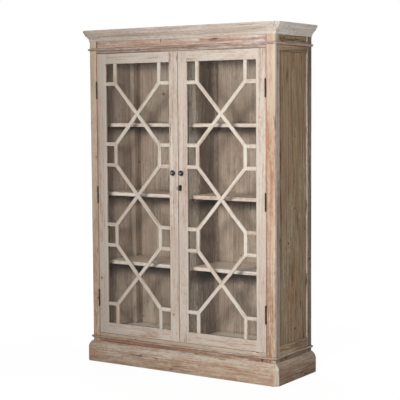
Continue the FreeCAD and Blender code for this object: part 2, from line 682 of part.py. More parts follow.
def band(name, profile, bottom):
    """The front, the two canted corner pieces and the two returns of one moulding."""
    edge = f"({HALF} - corner_cant)"
    cant_back = f"({FACE} + corner_cant)"
    back = f"({FACE} + case_depth)"
    run = "(case_depth - corner_cant)"
    front = moulding(f"{name}_front_length", profile, bottom, (f"(-{edge})", FACE), 0,
                     f"(2 * {edge})", (True, True))
    corner_length = "(corner_cant * sqrt(2))"
    pieces = [
        moulding(f"{name}_left_corner", profile, bottom, (f"(-{HALF})", cant_back), -EIGHTH_TURN,
                 corner_length, (True, True)),
        moulding(f"{name}_right_corner", profile, bottom, (edge, FACE), EIGHTH_TURN,
                 corner_length, (True, True))]
    returns = [
        moulding(f"{name}_left_return", profile, bottom, (f"(-{HALF})", back), -QUARTER_TURN,
                 run, (False, True)),
        moulding(f"{name}_right_return", profile, bottom, (HALF, cant_back), QUARTER_TURN,
                 run, (True, False))]
    return front, pieces, returns


for name, profile, bottom in (("cornice", CORNICE, "(overall_height - cornice_height)"),
                              ("plinth", PLINTH, "0")):
    front, pieces, returns = band(name, profile, bottom)
    keep(f"{name}_front", [front])
    keep(f"{name}_corners", pieces)
    keep(f"{name}_returns", returns)
for name, bottom in (("upper_bead", "(overall_height - upper_bead_drop)"),
                     ("base_bead", "base_bead_bottom")):
    front, pieces, returns = band(name, BEAD, bottom)
    keep(name, [front] + pieces + returns)


# Hinges

def wood_screw(name, start, direction):
    """A countersunk screw from the middle of its head."""
    body = new_body(name, start)
    cone(body, "Additive", start, direction, ("screw_head_radius", "screw_radius"), "screw_head_length")
    rod(body, "Additive", start, direction, "screw_radius", "screw_length")
    return body


def hinge_leaf(name, side, hinge, on_frame):
    """A hinge leaf with its share of the knuckles, bored for the pin and drilled for screws."""
    near, far = "leaf_gap / 2", "leaf_gap / 2 + leaf_thick"
    span = (f"{HINGE_OUT} + {near}", f"{HINGE_OUT} + {far}")
    if not on_frame:
        span = (f"{HINGE_OUT} - ({far})", f"{HINGE_OUT} - {near}")
    x_span = across(side, *span)
    body = board(name, x_span, deep("0", "leaf_depth"), about(hinge, "hinge_length"))
    axis = (f"{side} * {HINGE_OUT}", deep(HINGE_DEPTH, "0")[0])
    pitch = "(hinge_length / knuckle_count)"
    for index in range(0 if on_frame else 1, int(number("knuckle_count")), 2):
        bottom = f"({hinge} - hinge_length / 2 + {index} * {pitch} + knuckle_gap / 2)"
        height = f"({pitch} - knuckle_gap)"
        box(body, "Additive", x_span, deep(HINGE_DEPTH, "0"), (bottom, f"({bottom} + {height})"))
        rod(body, "Additive", (*axis, bottom), "+z", "barrel_radius", height)
    rod(body, "Subtractive", (*axis, f"{hinge} - hinge_length / 2 - overrun"), "+z",
        "pin_radius + pin_gap", "hinge_length + 2 * overrun")
    direction = "+x" if (side == RIGHT) == on_frame else "-x"
    face = f"{side} * ({HINGE_OUT} {'+' if on_frame else '-'} leaf_gap / 2)"
    for screw in screw_heights(hinge):
        start = (face, deep("screw_depth", "0")[0], screw)
        radii = ("screw_head_radius + screw_gap", "screw_radius + screw_gap")
        cone(body, "Subtractive", start, direction, radii, "screw_head_length")
        rod(body, "Subtractive", start, direction, "screw_radius + screw_gap", "leaf_thick + overrun")
    return body


def leaf_screws(name, side, hinge, on_frame):
    """The screws of one hinge leaf."""
    direction = "+x" if (side == RIGHT) == on_frame else "-x"
    face = f"{side} * ({HINGE_OUT} {'+' if on_frame else '-'} leaf_gap / 2)"
    return [wood_screw(f"{name}_screw_{index + 1}", (face, deep("screw_depth", "0")[0], height), direction)
            for index, height in enumerate(screw_heights(hinge))]


def hinge_pin(name, side, hinge):
    """A hinge pin with a round tip over each end of the knuckles."""
    axis = (f"{side} * {HINGE_OUT}", deep(HINGE_DEPTH, "0")[0])
    length = "(hinge_length + 2 * (pin_tip_gap + pin_tip_length))"
    start = (*axis, f"({hinge} - {length} / 2)")
    body = new_body(name, start)
    rod(body, "Additive", start, "+z", "pin_radius", length)
    rod(body, "Additive", start, "+z", "pin_tip_radius", "pin_tip_length")
    upper = (*axis, f"({hinge} + {length} / 2 - pin_tip_length)")
    rod(body, "Additive", upper, "+z", "pin_tip_radius", "pin_tip_length")
    return body


frame_leaves = []
pins = []
frame_screws = []
for word, side in (("left", LEFT), ("right", RIGHT)):
    door_leaves = []
    door_screws = []
    for hinge_name, hinge in HINGES.items():
        name = f"{word}_{hinge_name}"
        frame_leaves.append(hinge_leaf(f"{name}_frame_leaf", side, hinge, True))
        door_leaves.append(hinge_leaf(f"{name}_door_leaf", side, hinge, False))
        pins.append(hinge_pin(f"{name}_pin", side, hinge))
        frame_screws += leaf_screws(f"{name}_frame", side, hinge, True)
        door_screws += leaf_screws(f"{name}_door", side, hinge, False)
    keep(f"{word}_door_leaves", door_leaves)
    keep(f"{word}_leaf_screws", door_screws)
keep("hinge_frame_leaves", frame_leaves)
keep("hinge_pins", pins)
keep("frame_hinge_screws", frame_screws)


# Doors

DOOR_SPAN = deep("0", "door_thick")
REBATE_SPAN = deep("rebate_depth", "door_thick + overrun")
TOP_RAIL_SPAN = (OPENING_TOP, DOOR_TOP)
BOTTOM_RAIL_SPAN = (DOOR_BOTTOM, OPENING_BOTTOM)
LOCK_FRONT = "lock_setback"
LOCK_BACK = "(lock_setback + lock_thick)"
LOCK_SPAN = ("(lock_height - lock_below)", "(lock_height + lock_above)")
KEY_AXIS = ("lock_offset", "lock_height")
LOCK_BOLT_SPAN = ("(lock_height + lock_bolt_rise)", "(lock_height + lock_bolt_rise + lock_bolt_tall)")
LOCK_BOLT_DEPTH = deep("lock_setback + lock_thick / 2 - lock_bolt_thick / 2",
                       "lock_setback + lock_thick / 2 + lock_bolt_thick / 2")


def door_stile(name, side, span, at_meeting):
    """A stile of a door: rebated for the glass, mortised for the rails, bevelled at its front."""
    body = board(name, across(side, *span), DOOR_SPAN, (DOOR_BOTTOM, DOOR_TOP))
    inner_edge = span[1] if at_meeting else span[0]
    rebate = (f"{inner_edge} - rebate_width", f"{inner_edge} + overrun")
    if not at_meeting:
        rebate = (f"{inner_edge} - overrun", f"{inner_edge} + rebate_width")
    height = grown((OPENING_BOTTOM, OPENING_TOP), "rebate_width")
    box(body, "Subtractive", across(side, *rebate), REBATE_SPAN, height)
    for z_span in (TOP_RAIL_SPAN, BOTTOM_RAIL_SPAN):
        mortise(body, side, inner_edge, at_meeting, z_span)
    cant_start = (f"{side} * {inner_edge}", FACE, f"({OPENING_BOTTOM} + overrun)")
    cant(body, "z", cant_start, "door_bevel", f"{OPENING_TOP} - {OPENING_BOTTOM} - 2 * overrun")
    return body


def door_rail(name, side, z_span, rebated_edge, below):
    """A rail of a door with its tenons; the rebate and the bevel are in its inner edge."""
    x_span = across(side, OPENING_EDGE, STILE_EDGE)
    body = board(name, x_span, DOOR_SPAN, z_span)
    tenons(body, x_span, z_span)
    cut = (f"({rebated_edge} - overrun)", f"({rebated_edge} + rebate_width)")
    if below:
        cut = (f"({rebated_edge} - rebate_width)", f"({rebated_edge} + overrun)")
    box(body, "Subtractive", x_span, REBATE_SPAN, cut)
    start = (f"({x_span[0]} + overrun)", FACE, rebated_edge)
    cant(body, "x", start, "door_bevel", f"{x_span[1]} - {x_span[0]} - 2 * overrun")
    return body


def glazing(word, side):
    """The glass pane and the four beads that hold it in the rebate."""
    x_span = across(side, f"{OPENING_EDGE} - rebate_width", f"{STILE_EDGE} + rebate_width")
    z_span = grown((OPENING_BOTTOM, OPENING_TOP), "rebate_width")
    pane = board(f"{word}_glass", grown(x_span, "(-glass_gap)"), deep("rebate_depth", GLASS_BACK),
                 grown(z_span, "(-glass_gap)"))
    keep(f"{word}_glass", [pane])
    depth = deep(GLASS_BACK, "door_thick")
    inner_x = grown(x_span, "(-glazing_bead_width)")
    ends = (("low", (z_span[0], f"({z_span[0]} + glazing_bead_width)")),
            ("high", (f"({z_span[1]} - glazing_bead_width)", z_span[1])))
    beads = [board(f"{word}_{where}_glazing_bead", inner_x, depth, span) for where, span in ends]
    beads.append(board(f"{word}_west_glazing_bead", (x_span[0], inner_x[0]), depth, z_span))
    beads.append(board(f"{word}_east_glazing_bead", (inner_x[1], x_span[1]), depth, z_span))
    keep(f"{word}_glazing_beads", beads)


def diagonal(name, centre, degrees_sign, half_width, depth, length):
    """A lattice bar turned about the middle of a cross."""
    body = new_body(name, (centre[0], deep(depth[0], "0")[0], centre[1]))
    body.Placement = Placement(body.Placement.Base, Rotation(Vector(0, 1, 0), EIGHTH_TURN))
    angle = f"{degrees_sign} * atan({half_width} / {CROSS_HALF})"
    body.setExpression("Placement.Rotation.Angle", formula(angle))
    sketch = new_sketch(body, "XZ_Plane", f"{name}_outline")
    rectangle(sketch, "bar_width", length, True)
    padded(body, sketch, f"{depth[1]} - {depth[0]}", True)
    return body


def cross_height(index):
    """The height of the middle of a cross, counted from the lowest."""
    return f"({OPENING_BOTTOM} + cross_margin + {CROSS_HALF} + {index} * {CROSS_PITCH})"


def lattice(word, side):
    """The uprights, cross bars and half-lapped diagonals in front of the glass of one door."""
    count = int(number("cross_count"))
    bars = []
    depth = deep("bar_setback", BAR_BACK)
    inner = f"({OPENING_EDGE} + bar_column_inset)"
    outer = f"({STILE_EDGE} - bar_column_inset)"
    columns = {"inner": inner, "outer": outer}
    uprights = {}
    for place, column in columns.items():
        for index in range(count + 1):
            low = OPENING_BOTTOM
            if index > 0:
                low = f"({cross_height(index - 1)} + {CROSS_HALF} - bar_width / 2)"
            high = OPENING_TOP
            if index < count:
                high = f"({cross_height(index)} - {CROSS_HALF} + bar_width / 2)"
            name = f"{word}_{place}_upright_{index + 1}"
            bar = board(name, across(side, *about(column, "bar_width")), depth, (low, high))
            uprights[place, index] = bar
            bars.append(bar)
    spans = {"inner": (OPENING_EDGE, f"({inner} - bar_width / 2)"),
             "outer": (f"({outer} + bar_width / 2)", STILE_EDGE)}
    for index in range(count):
        for place, span in spans.items():
            for level, sign in (("lower", "-"), ("upper", "+")):
                height = about(f"({cross_height(index)} {sign} {CROSS_HALF})", "bar_width")
                name = f"{word}_{place}_{level}_cross_bar_{index + 1}"
                bars.append(board(name, across(side, *span), depth, height))
    middle = f"({side} * ({inner} + {outer}) / 2)"
    half_width = f"(({outer} - {inner}) / 2)"
    full = f"(2 * sqrt({half_width} * {half_width} + {CROSS_HALF} * {CROSS_HALF}))"
    lap_middle = "(bar_setback + bar_thick / 2)"
    for index in range(count):
        centre = (middle, cross_height(index))
        for slope, sign in (("rising", 1), ("falling", -1)):
            name = f"{word}_{slope}_bar_{index + 1}"
            bar = diagonal(f"{name}_blank", centre, sign, half_width, ("bar_setback", BAR_BACK), full)
            front = ("bar_setback - overrun", lap_middle)
            rear = (lap_middle, f"{BAR_BACK} + overrun")
            lap = diagonal(f"{name}_lap", centre, -sign, half_width, front if sign > 0 else rear,
                           "(4 * bar_width)")
            low_place, high_place = ("inner", "outer") if sign * side > 0 else ("outer", "inner")
            tool = doc.addObject("Part::Compound", f"{name}_tool")
            tool.Links = [uprights[low_place, index], uprights[high_place, index + 1], lap]
            trimmed = doc.addObject("Part::Cut", name)
            trimmed.Base = bar
            trimmed.Tool = tool
            bars.append(trimmed)
    keep(f"{word}_lattice", bars)


def knob(word, side):
    """A round turned knob with a rose and a stud that enters the meeting stile."""
    start = (f"{side} * knob_offset", deep("stud_length", "0")[0], "knob_height")
    body = new_body(f"{word}_knob", start)
    body.Placement = Placement(body.Placement.Base, TURNS["-y"])
    sketch = new_sketch(body, "XZ_Plane", f"{word}_knob_outline")
    base = "stud_length"
    dome = "(knob_length - knob_rim_height)"
    dome_radius = f"((knob_radius * knob_radius + {dome} * {dome}) / (2 * {dome}))"
    outline(sketch, [
        ("0", "0"), ("stud_radius", "0"), ("stud_radius", base), ("rose_radius", base),
        ("rose_radius", f"{base} + rose_height"), ("neck_radius", f"{base} + rose_height"),
        ("neck_radius", f"{base} + neck_height"),
        ("knob_radius", f"{base} + knob_rim_height", "knob_flare_radius", 1),
        ("0", f"{base} + knob_length", dome_radius, 1)], 1)
    turned = body.newObject("PartDesign::Revolution", f"{word}_knob_turning")
    turned.Profile = sketch
    turned.ReferenceAxis = (sketch, ["V_Axis"])
    turned.Angle = 2 * HALF_TURN
    keep(f"{word}_knob", [body])


def key_opening(body, depth, radius, slot_gap):
    """A round hole for the shank of the key with a slot below it for the bit."""
    x_place, z_place = KEY_AXIS
    start = (x_place, depth[0], z_place)
    rod(body, "Subtractive", start, "+y", radius, f"{depth[1]} - {depth[0]}")
    slot = (f"({z_place} - key_bit_reach - {slot_gap})", z_place)
    box(body, "Subtractive", about(x_place, f"(key_bit_thick + 2 * {slot_gap})"), depth, slot)


def meeting_stile(word, side):
    """The stile at the middle of the case, cut for the lock or for its keeper."""
    name = f"{word}_meeting_stile"
    body = door_stile(name, side, (MEETING_EDGE, OPENING_EDGE), True)
    start = (f"{side} * {MEETING_EDGE}", FACE, DOOR_BOTTOM)
    cant(body, "z", start, "door_bevel", f"{DOOR_TOP} - {DOOR_BOTTOM}")
    hole = (f"{side} * knob_offset", deep("-overrun", "0")[0], "knob_height")
    rod(body, "Subtractive", hole, "+y", "stud_radius + stud_gap", "stud_length + 2 * overrun")
    if side == RIGHT:
        span = (f"({MEETING_EDGE} - overrun)", f"({MEETING_EDGE} + lock_width + lock_gap)")
        box(body, "Subtractive", span, grown(deep(LOCK_FRONT, LOCK_BACK), "lock_gap"),
            grown(LOCK_SPAN, "lock_gap"))
        key_opening(body, deep("-overrun", LOCK_FRONT), "key_hole_radius", "key_slot_gap")
    else:
        depth = about(f"({FACE} + lock_setback + lock_thick / 2)", "keeper_width")
        middle = "(lock_height + lock_bolt_rise + lock_bolt_tall / 2)"
        span = (f"({MEETING_EDGE} - overrun)", f"({MEETING_EDGE} + keeper_thick)")
        box(body, "Subtractive", across(LEFT, *span), grown(depth, "lock_gap"),
            grown(about(middle, "keeper_tall"), "lock_gap"))
        pocket = (f"({MEETING_EDGE} - overrun)", f"({MEETING_EDGE} + keeper_pocket)")
        box(body, "Subtractive", across(LEFT, *pocket), grown(LOCK_BOLT_DEPTH, "keeper_slot_gap"),
            grown(LOCK_BOLT_SPAN, "keeper_slot_gap"))
    keep(name, [body])


def hinge_stile(word, side):
    """The stile of a door that carries its hinges."""
    name = f"{word}_hinge_stile"
    body = door_stile(name, side, (STILE_EDGE, DOOR_EDGE), False)
    hinge_seats(body, side, DOOR_EDGE, False)
    keep(name, [body])


for word, side in (("left", LEFT), ("right", RIGHT)):
    hinge_stile(word, side)
    meeting_stile(word, side)
    keep(f"{word}_door_rails", [
        door_rail(f"{word}_top_door_rail", side, TOP_RAIL_SPAN, OPENING_TOP, False),
        door_rail(f"{word}_bottom_door_rail", side, BOTTOM_RAIL_SPAN, OPENING_BOTTOM, True)])
    lattice(word, side)
    glazing(word, side)
    knob(word, side)


# Lock, keeper, escutcheon and key

def lock_case():
    """A hollow lock case in the right meeting stile, open for the bolt and for the key."""
    x_span = (MEETING_EDGE, f"({MEETING_EDGE} + lock_width)")
    y_span = deep(LOCK_FRONT, LOCK_BACK)
    body = board("lock_case", x_span, y_span, LOCK_SPAN)
    wall = "(-lock_wall)"
    box(body, "Subtractive", grown(x_span, wall), grown(y_span, wall), grown(LOCK_SPAN, wall))
    slot = (f"({x_span[0]} - overrun)", f"({x_span[0]} + lock_wall + overrun)")
    box(body, "Subtractive", slot, grown(LOCK_BOLT_DEPTH, "lock_bolt_gap"),
        grown(LOCK_BOLT_SPAN, "lock_bolt_gap"))
    front = (f"({y_span[0]} - overrun)", f"({y_span[0]} + lock_wall + overrun)")
    key_opening(body, front, "key_radius + key_gap", "key_slot_gap")
    start = (KEY_AXIS[0], f"({y_span[1]} - lock_wall - overrun)", KEY_AXIS[1])
    rod(body, "Subtractive", start, "+y", "key_radius + key_gap", "lock_wall + 2 * overrun")
    keep("lock_case", [body])


def lock_bolt():
    """The sliding bolt of the lock, flush with the door edge when it is drawn back."""
    start = f"({MEETING_EDGE} + lock_bolt_setback)"
    span = (start, f"({start} + lock_bolt_length)")
    keep("lock_bolt", [board("lock_bolt", span, LOCK_BOLT_DEPTH, LOCK_BOLT_SPAN)])


def lock_keeper():
    """The plate in the left meeting stile that takes the bolt of the lock."""
    depth = about(f"({FACE} + lock_setback + lock_thick / 2)", "keeper_width")
    middle = "(lock_height + lock_bolt_rise + lock_bolt_tall / 2)"
    span = across(LEFT, MEETING_EDGE, f"{MEETING_EDGE} + keeper_thick")
    body = board("lock_keeper", span, depth, about(middle, "keeper_tall"))
    box(body, "Subtractive", grown(span, "overrun"), grown(LOCK_BOLT_DEPTH, "keeper_slot_gap"),
        grown(LOCK_BOLT_SPAN, "keeper_slot_gap"))
    keep("lock_keeper", [body])


def escutcheon():
    """The plate with round ends that frames the keyhole."""
    x_place, z_place = KEY_AXIS
    straight = "(escutcheon_tall - escutcheon_width)"
    depth = deep("-escutcheon_thick", "0")
    body = board("escutcheon", about(x_place, "escutcheon_width"), depth, about(z_place, straight))
    for sign in ("-", "+"):
        start = (x_place, depth[0], f"({z_place} {sign} {straight} / 2)")
        rod(body, "Additive", start, "+y", "escutcheon_width / 2", "escutcheon_thick")
    key_opening(body, grown(depth, "overrun"), "key_hole_radius", "key_slot_gap")
    keep("escutcheon", [body])


def key():
    """The key in its lock: shank, collar, ring bow and bit."""
    x_place, z_place = KEY_AXIS
    start = (x_place, deep("-key_shank_out", "0")[0], z_place)
    body = new_body("key", start)
    rod(body, "Additive", start, "+y", "key_radius", f"key_shank_out + {LOCK_BACK}")
    collar = (x_place, deep("-key_collar_out", "0")[0], z_place)
    rod(body, "Additive", collar, "+y", "key_collar_radius", "key_collar_length")
    bit_start = "(lock_setback + lock_wall + key_bit_gap)"
    box(body, "Additive", about(x_place, "key_bit_thick"), deep(bit_start, f"{bit_start} + key_bit_length"),
        (f"({z_place} - key_bit_reach)", z_place))
    ring = body.newObject("PartDesign::AdditiveTorus", "key_bow")
    ring.setExpression("Radius1", formula("key_bow_radius"))
    ring.setExpression("Radius2", formula("key_bow_thick"))
    bow_depth = deep("-(key_shank_out + key_bow_radius)", "0")[0]
    place_feature(body, ring, TURNS["+x"], (x_place, bow_depth, z_place))
    keep("key", [body])


lock_case()
lock_bolt()
lock_keeper()
escutcheon()
key()


# Sliding bolts inside the left door

ROD_PLACE = ("(-rod_offset)", deep(ROD_DEPTH, "0")[0])


def bolt_plate(name, z_span):
    """A bolt plate on the inside of the left meeting stile with a bridge at both ends."""
    x_span = about(ROD_PLACE[0], "bolt_plate_width")
    body = board(name, x_span, deep("door_thick", "door_thick + bolt_plate_thick"), z_span)
    depth = deep("door_thick", f"{ROD_DEPTH} + rod_radius + bridge_wall")
    low = (z_span[0], f"({z_span[0]} + bridge_length)")
    high = (f"({z_span[1]} - bridge_length)", z_span[1])
    for span in (low, high):
        box(body, "Additive", about(ROD_PLACE[0], "(2 * (rod_radius + bridge_wall))"), depth, span)
    start = (*ROD_PLACE, f"({z_span[0]} - overrun)")
    rod(body, "Subtractive", start, "+z", "rod_radius + rod_gap", "bolt_plate_length + 2 * overrun")
    return body


def sliding_bolt(name, bottom, plate_middle):
    """A round sliding bolt with a thumb stud between the bridges of its plate."""
    start = (*ROD_PLACE, bottom)
    body = new_body(name, start)
    rod(body, "Additive", start, "+z", "rod_radius", "rod_length")
    stud = (*ROD_PLACE, plate_middle)
    rod(body, "Additive", stud, "+y", "thumb_radius", "rod_radius + thumb_length")
    keep(name, [body])


LOW_PLATE = (f"({DOOR_BOTTOM} + bolt_plate_inset)",
             f"({DOOR_BOTTOM} + bolt_plate_inset + bolt_plate_length)")
HIGH_PLATE = (f"({DOOR_TOP} - bolt_plate_inset - bolt_plate_length)",
              f"({DOOR_TOP} - bolt_plate_inset)")
LOW_THUMB = f"({LOW_PLATE[1]} - bridge_length - 2 * thumb_radius)"
HIGH_THUMB = f"({HIGH_PLATE[0]} + bridge_length + 2 * thumb_radius)"
keep("left_bolt_plates", [bolt_plate("low_bolt_plate", LOW_PLATE),
                          bolt_plate("high_bolt_plate", HIGH_PLATE)])
sliding_bolt("left_bottom_bolt", f"({DOOR_BOTTOM} + rod_end_gap)", LOW_THUMB)
sliding_bolt("left_top_bolt", f"({DOOR_TOP} - rod_end_gap - rod_length)", HIGH_THUMB)


# Checks and files

doc.recompute()
for item in doc.Objects:
    if "Invalid" in item.State or "Error" in item.State:
        raise RuntimeError(f"{item.Label} is {item.State}")
for name, piece in nodes.items():
    shape = piece.Shape
    if shape.isNull() or not shape.isValid() or not shape.Solids:
        raise RuntimeError(f"{name} has no valid solid")
os.makedirs("parts", exist_ok=True)
for name, piece in nodes.items():
    piece.Shape.exportStep(f"parts/{name}.step")
print(f"{len(nodes)} nodes, {sum(len(piece.Shape.Solids) for piece in nodes.values())} solids")
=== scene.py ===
"""Glazed bookcase of limed pine: its timber, lattice, mouldings and metalwork, in a plain studio.

Lengths are in metres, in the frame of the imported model: X to the right, Y to the back, Z up.
"""

import logging
import math
import random
from dataclasses import dataclass, field
from enum import Enum
from typing import Sequence, Union

import bmesh
import bpy
from mathutils import Matrix, Vector


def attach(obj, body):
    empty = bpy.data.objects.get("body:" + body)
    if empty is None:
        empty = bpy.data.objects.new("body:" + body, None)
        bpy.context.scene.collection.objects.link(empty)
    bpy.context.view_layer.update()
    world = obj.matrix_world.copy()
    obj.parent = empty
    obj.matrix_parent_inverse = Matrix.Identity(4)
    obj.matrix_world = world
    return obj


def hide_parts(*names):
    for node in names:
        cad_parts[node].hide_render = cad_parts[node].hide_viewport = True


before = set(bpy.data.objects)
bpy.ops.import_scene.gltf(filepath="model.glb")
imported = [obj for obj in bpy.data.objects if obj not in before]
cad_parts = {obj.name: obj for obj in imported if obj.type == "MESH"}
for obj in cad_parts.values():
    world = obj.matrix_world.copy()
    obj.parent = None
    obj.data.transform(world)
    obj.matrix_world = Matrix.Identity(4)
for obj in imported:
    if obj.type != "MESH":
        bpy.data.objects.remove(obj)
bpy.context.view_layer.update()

log = logging.getLogger("bookcase")

Socket = bpy.types.NodeSocket
Term = Union[Socket, float, Sequence[float]]
Spot = tuple[float, float]
Triple = tuple[float, float, float]
Tint = tuple[float, float, float, float]


# Helpers for colours and node trees

def tone(red: int, green: int, blue: int) -> Tint:
    """A paint colour.

    Args:
        red: Red as it shows on a screen, 0 to 255.
        green: Green, likewise.
        blue: Blue, likewise.

    Returns:
        The colour in linear light, with full opacity.
    """
    def straight(level: int) -> float:
        """One channel in linear light."""
        share = level / 255
        return share / 12.92 if share <= 0.04045 else ((share + 0.055) / 1.055) ** 2.4

    return straight(red), straight(green), straight(blue), 1.0


class Recipe:
    """The node tree of one finish, with a method for each kind of step in it."""

    def __init__(self, name: str) -> None:
        """Starts an empty finish.

        Args:
            name: Name of the material.
        """
        self.material = bpy.data.materials.new(name)
        self.material.use_nodes = True
        self.tree = self.material.node_tree
        self.shader = self.tree.nodes["Principled BSDF"]
        self.output = self.tree.nodes["Material Output"]

    def add(self, kind: str, **settings: object) -> bpy.types.Node:
        """A new node.

        Args:
            kind: Node type.
            settings: Its settings, by name.

        Returns:
            The node.
        """
        node = self.tree.nodes.new(kind)
        for key, value in settings.items():
            setattr(node, key, value)
        return node

    def feed(self, target: Socket, source: Term) -> None:
        """Links a socket to an input, or sets the input to a value.

        Args:
            target: The input.
            source: A socket, a number or a colour.
        """
        if isinstance(source, bpy.types.NodeSocket):
            self.tree.links.new(source, target)
        else:
            target.default_value = source

    def steps(self, node: bpy.types.Node, terms: Sequence[Term]) -> bpy.types.Node:
        """Feeds the first inputs of a node in their order.

        Args:
            node: The node.
            terms: What they get.

        Returns:
            The node.
        """
        for place, term in zip(node.inputs, terms):
            self.feed(place, term)
        return node

    def maths(self, operation: str, *terms: Term) -> Socket:
        """The result of a sum on one, two or three terms."""
        return self.steps(self.add("ShaderNodeMath", operation=operation), terms).outputs[0]

    def times(self, first: Term, second: Term) -> Socket:
        """Two numbers multiplied."""
        return self.maths("MULTIPLY", first, second)

    def lift(self, level: Term, source: Term, weight: float) -> Socket:
        """A level with a weighted source added."""
        return self.maths("MULTIPLY_ADD", source, weight, level)

    def swing(self, level: Term, source: Term, weight: float) -> Socket:
        """A level raised where a source is above one half, and lowered where it is below."""
        return self.lift(level, self.maths("SUBTRACT", source, 0.5), weight)

    def vector(self, operation: str, *terms: Term) -> Socket:
        """The result of a sum on vectors; a number where the sum gives one."""
        node = self.steps(self.add("ShaderNodeVectorMath", operation=operation), terms)
        return node.outputs["Value" if operation in {"LENGTH", "DOT_PRODUCT"} else "Vector"]

    def split(self, source: Term) -> tuple[Socket, Socket, Socket]:
        """The three parts of a vector."""
        node = self.steps(self.add("ShaderNodeSeparateXYZ"), (source,))
        return node.outputs[0], node.outputs[1], node.outputs[2]

    def join(self, *parts: Term) -> Socket:
        """A vector from three numbers."""
        return self.steps(self.add("ShaderNodeCombineXYZ"), parts).outputs[0]

    def place(self) -> Socket:
        """Where a point lies on its piece, in metres."""
        return self.add("ShaderNodeTexCoord").outputs["Object"]

    def shade(self, values: dict[str, Term]) -> None:
        """Feeds inputs of the shader, each by its name."""
        for name, value in values.items():
            self.feed(self.shader.inputs[name], value)

    def overlay(self, share: Term, shader: bpy.types.Node) -> None:
        """Lays another shader over the finish's own.

        Args:
            share: How much of the other one shows.
            shader: The other one.
        """
        mixer = self.steps(self.add("ShaderNodeMixShader"),
                           (share, self.shader.outputs[0], shader.outputs[0]))
        self.feed(self.output.inputs["Surface"], mixer.outputs[0])

    def fade(self, source: Term, start: Term, end: Term, low: float = 0.0, high: float = 1.0,
             soft: bool = True, held: bool = True) -> Socket:
        """A value taken from one range to another.

        Args:
            source: The value.
            start: Where the low end of the result lies.
            end: Where the high end lies; it may be below the start.
            low: Result at the start.
            high: Result at the end.
            soft: Whether the change eases in and out.
            held: Whether the result stops at both ends.

        Returns:
            The new value.
        """
        node = self.add("ShaderNodeMapRange", clamp=held,
                        interpolation_type="SMOOTHSTEP" if soft else "LINEAR")
        return self.steps(node, (source, start, end, low, high)).outputs[0]

    def noise(self, place: Term, stretch: Triple, detail: float = 2.0, rough: float = 0.5,
              warp: float = 0.0) -> bpy.types.Node:
        """Soft random variation.

        Args:
            place: Where it is read, in metres.
            stretch: Waves per metre along each axis.
            detail: How many finer layers it has.
            rough: How strong the finer layers are.
            warp: How far it is drawn out of shape.

        Returns:
            The noise node: its first output is a number, its second a colour.
        """
        node = self.add("ShaderNodeTexNoise", noise_dimensions="3D")
        self.feed(node.inputs["Vector"], self.vector("MULTIPLY", place, stretch))
        for name, value in (("Scale", 1.0), ("Detail", detail), ("Roughness", rough),
                            ("Distortion", warp)):
            node.inputs[name].default_value = value
        return node

    def blend(self, share: Term, under: Term, over: Term, mode: str = "MIX") -> Socket:
        """One colour laid over another.

        Args:
            share: How much of the upper colour shows.
            under: The lower colour.
            over: The upper colour.
            mode: How they mix.

        Returns:
            The mixed colour.
        """
        node = self.add("ShaderNodeMix", data_type="RGBA", blend_type=mode)
        self.feed(node.inputs[0], share)
        self.feed(node.inputs[6], under)
        self.feed(node.inputs[7], over)
        return node.outputs[2]

    def edges(self, radius: float, start: float, end: float) -> Socket:
        """How near a point is to a sharp outer edge, from 0 to 1.

        Args:
            radius: How far from the edge the mask reaches.
            start: Turn of the surface at which it begins.
            end: Turn at which it is full.

        Returns:
            The share of edge, for bare metal and for painted edge highlights and glints.
        """
        worn = self.add("ShaderNodeBevel", samples=6)
        worn.inputs["Radius"].default_value = radius
        facing = self.add("ShaderNodeNewGeometry").outputs["True Normal"]
        turn = self.maths("SUBTRACT", 1.0, self.vector("DOT_PRODUCT", worn.outputs[0], facing))
        return self.fade(turn, start, end)

    def hollows(self, reach: float, start: float, end: float) -> Socket:
        """How deep a point sits in a corner, from 0 to 1.

        Args:
            reach: How far away the walls of the corner may be.
            start: Openness at which the darkening begins.
            end: Openness at which it is full.

        Returns:
            The share of darkening in the corner.
        """
        node = self.add("ShaderNodeAmbientOcclusion", samples=8)
        node.inputs["Distance"].default_value = reach
        return self.fade(node.outputs["AO"], start, end)

    def relief(self, height: Term, strength: float, depth: float) -> None:
        """Raises and sinks the surface by a height.

        Args:
            height: The height, about 0 to 1.
            strength: How strongly it shows.
            depth: What a height of 1 stands for, in metres.
        """
        node = self.add("ShaderNodeBump")
        node.inputs["Strength"].default_value = strength
        node.inputs["Distance"].default_value = depth
        self.feed(node.inputs["Height"], height)
        self.shade({"Normal": node.outputs[0]})


# Finishes

class Axis(Enum):
    """The directions of the model; across it, the distance from its middle counts."""

    ACROSS = 0
    DEEP = 1
    UP = 2


@dataclass(frozen=True)
class Zone:
    """A stretch of a piece with more or less of something, such as lime or painted shadow.

    Attributes:
        axis: Direction in which it changes.
        start: Where the change begins, in metres.
        end: Where it is full; it may lie before the start.
        amount: What it adds to the level.
    """

    axis: Axis
    start: float
    end: float
    amount: float


@dataclass(frozen=True)
class Finish:
    """What every finish has: a name, and a material that is made once.

    Attributes:
        name: Name of the material.
    """

    name: str

    def material(self) -> bpy.types.Material:
        """The material; the first call makes it.

        Returns:
            The material.
        """
        made = bpy.data.materials.get(self.name)
        if made is None:
            recipe = Recipe(self.name)
            self.mix(recipe)
            made = recipe.material
        return made

    def mix(self, recipe: Recipe) -> None:
        """Fills the node tree; each kind of finish does it in its own way."""
        raise NotImplementedError


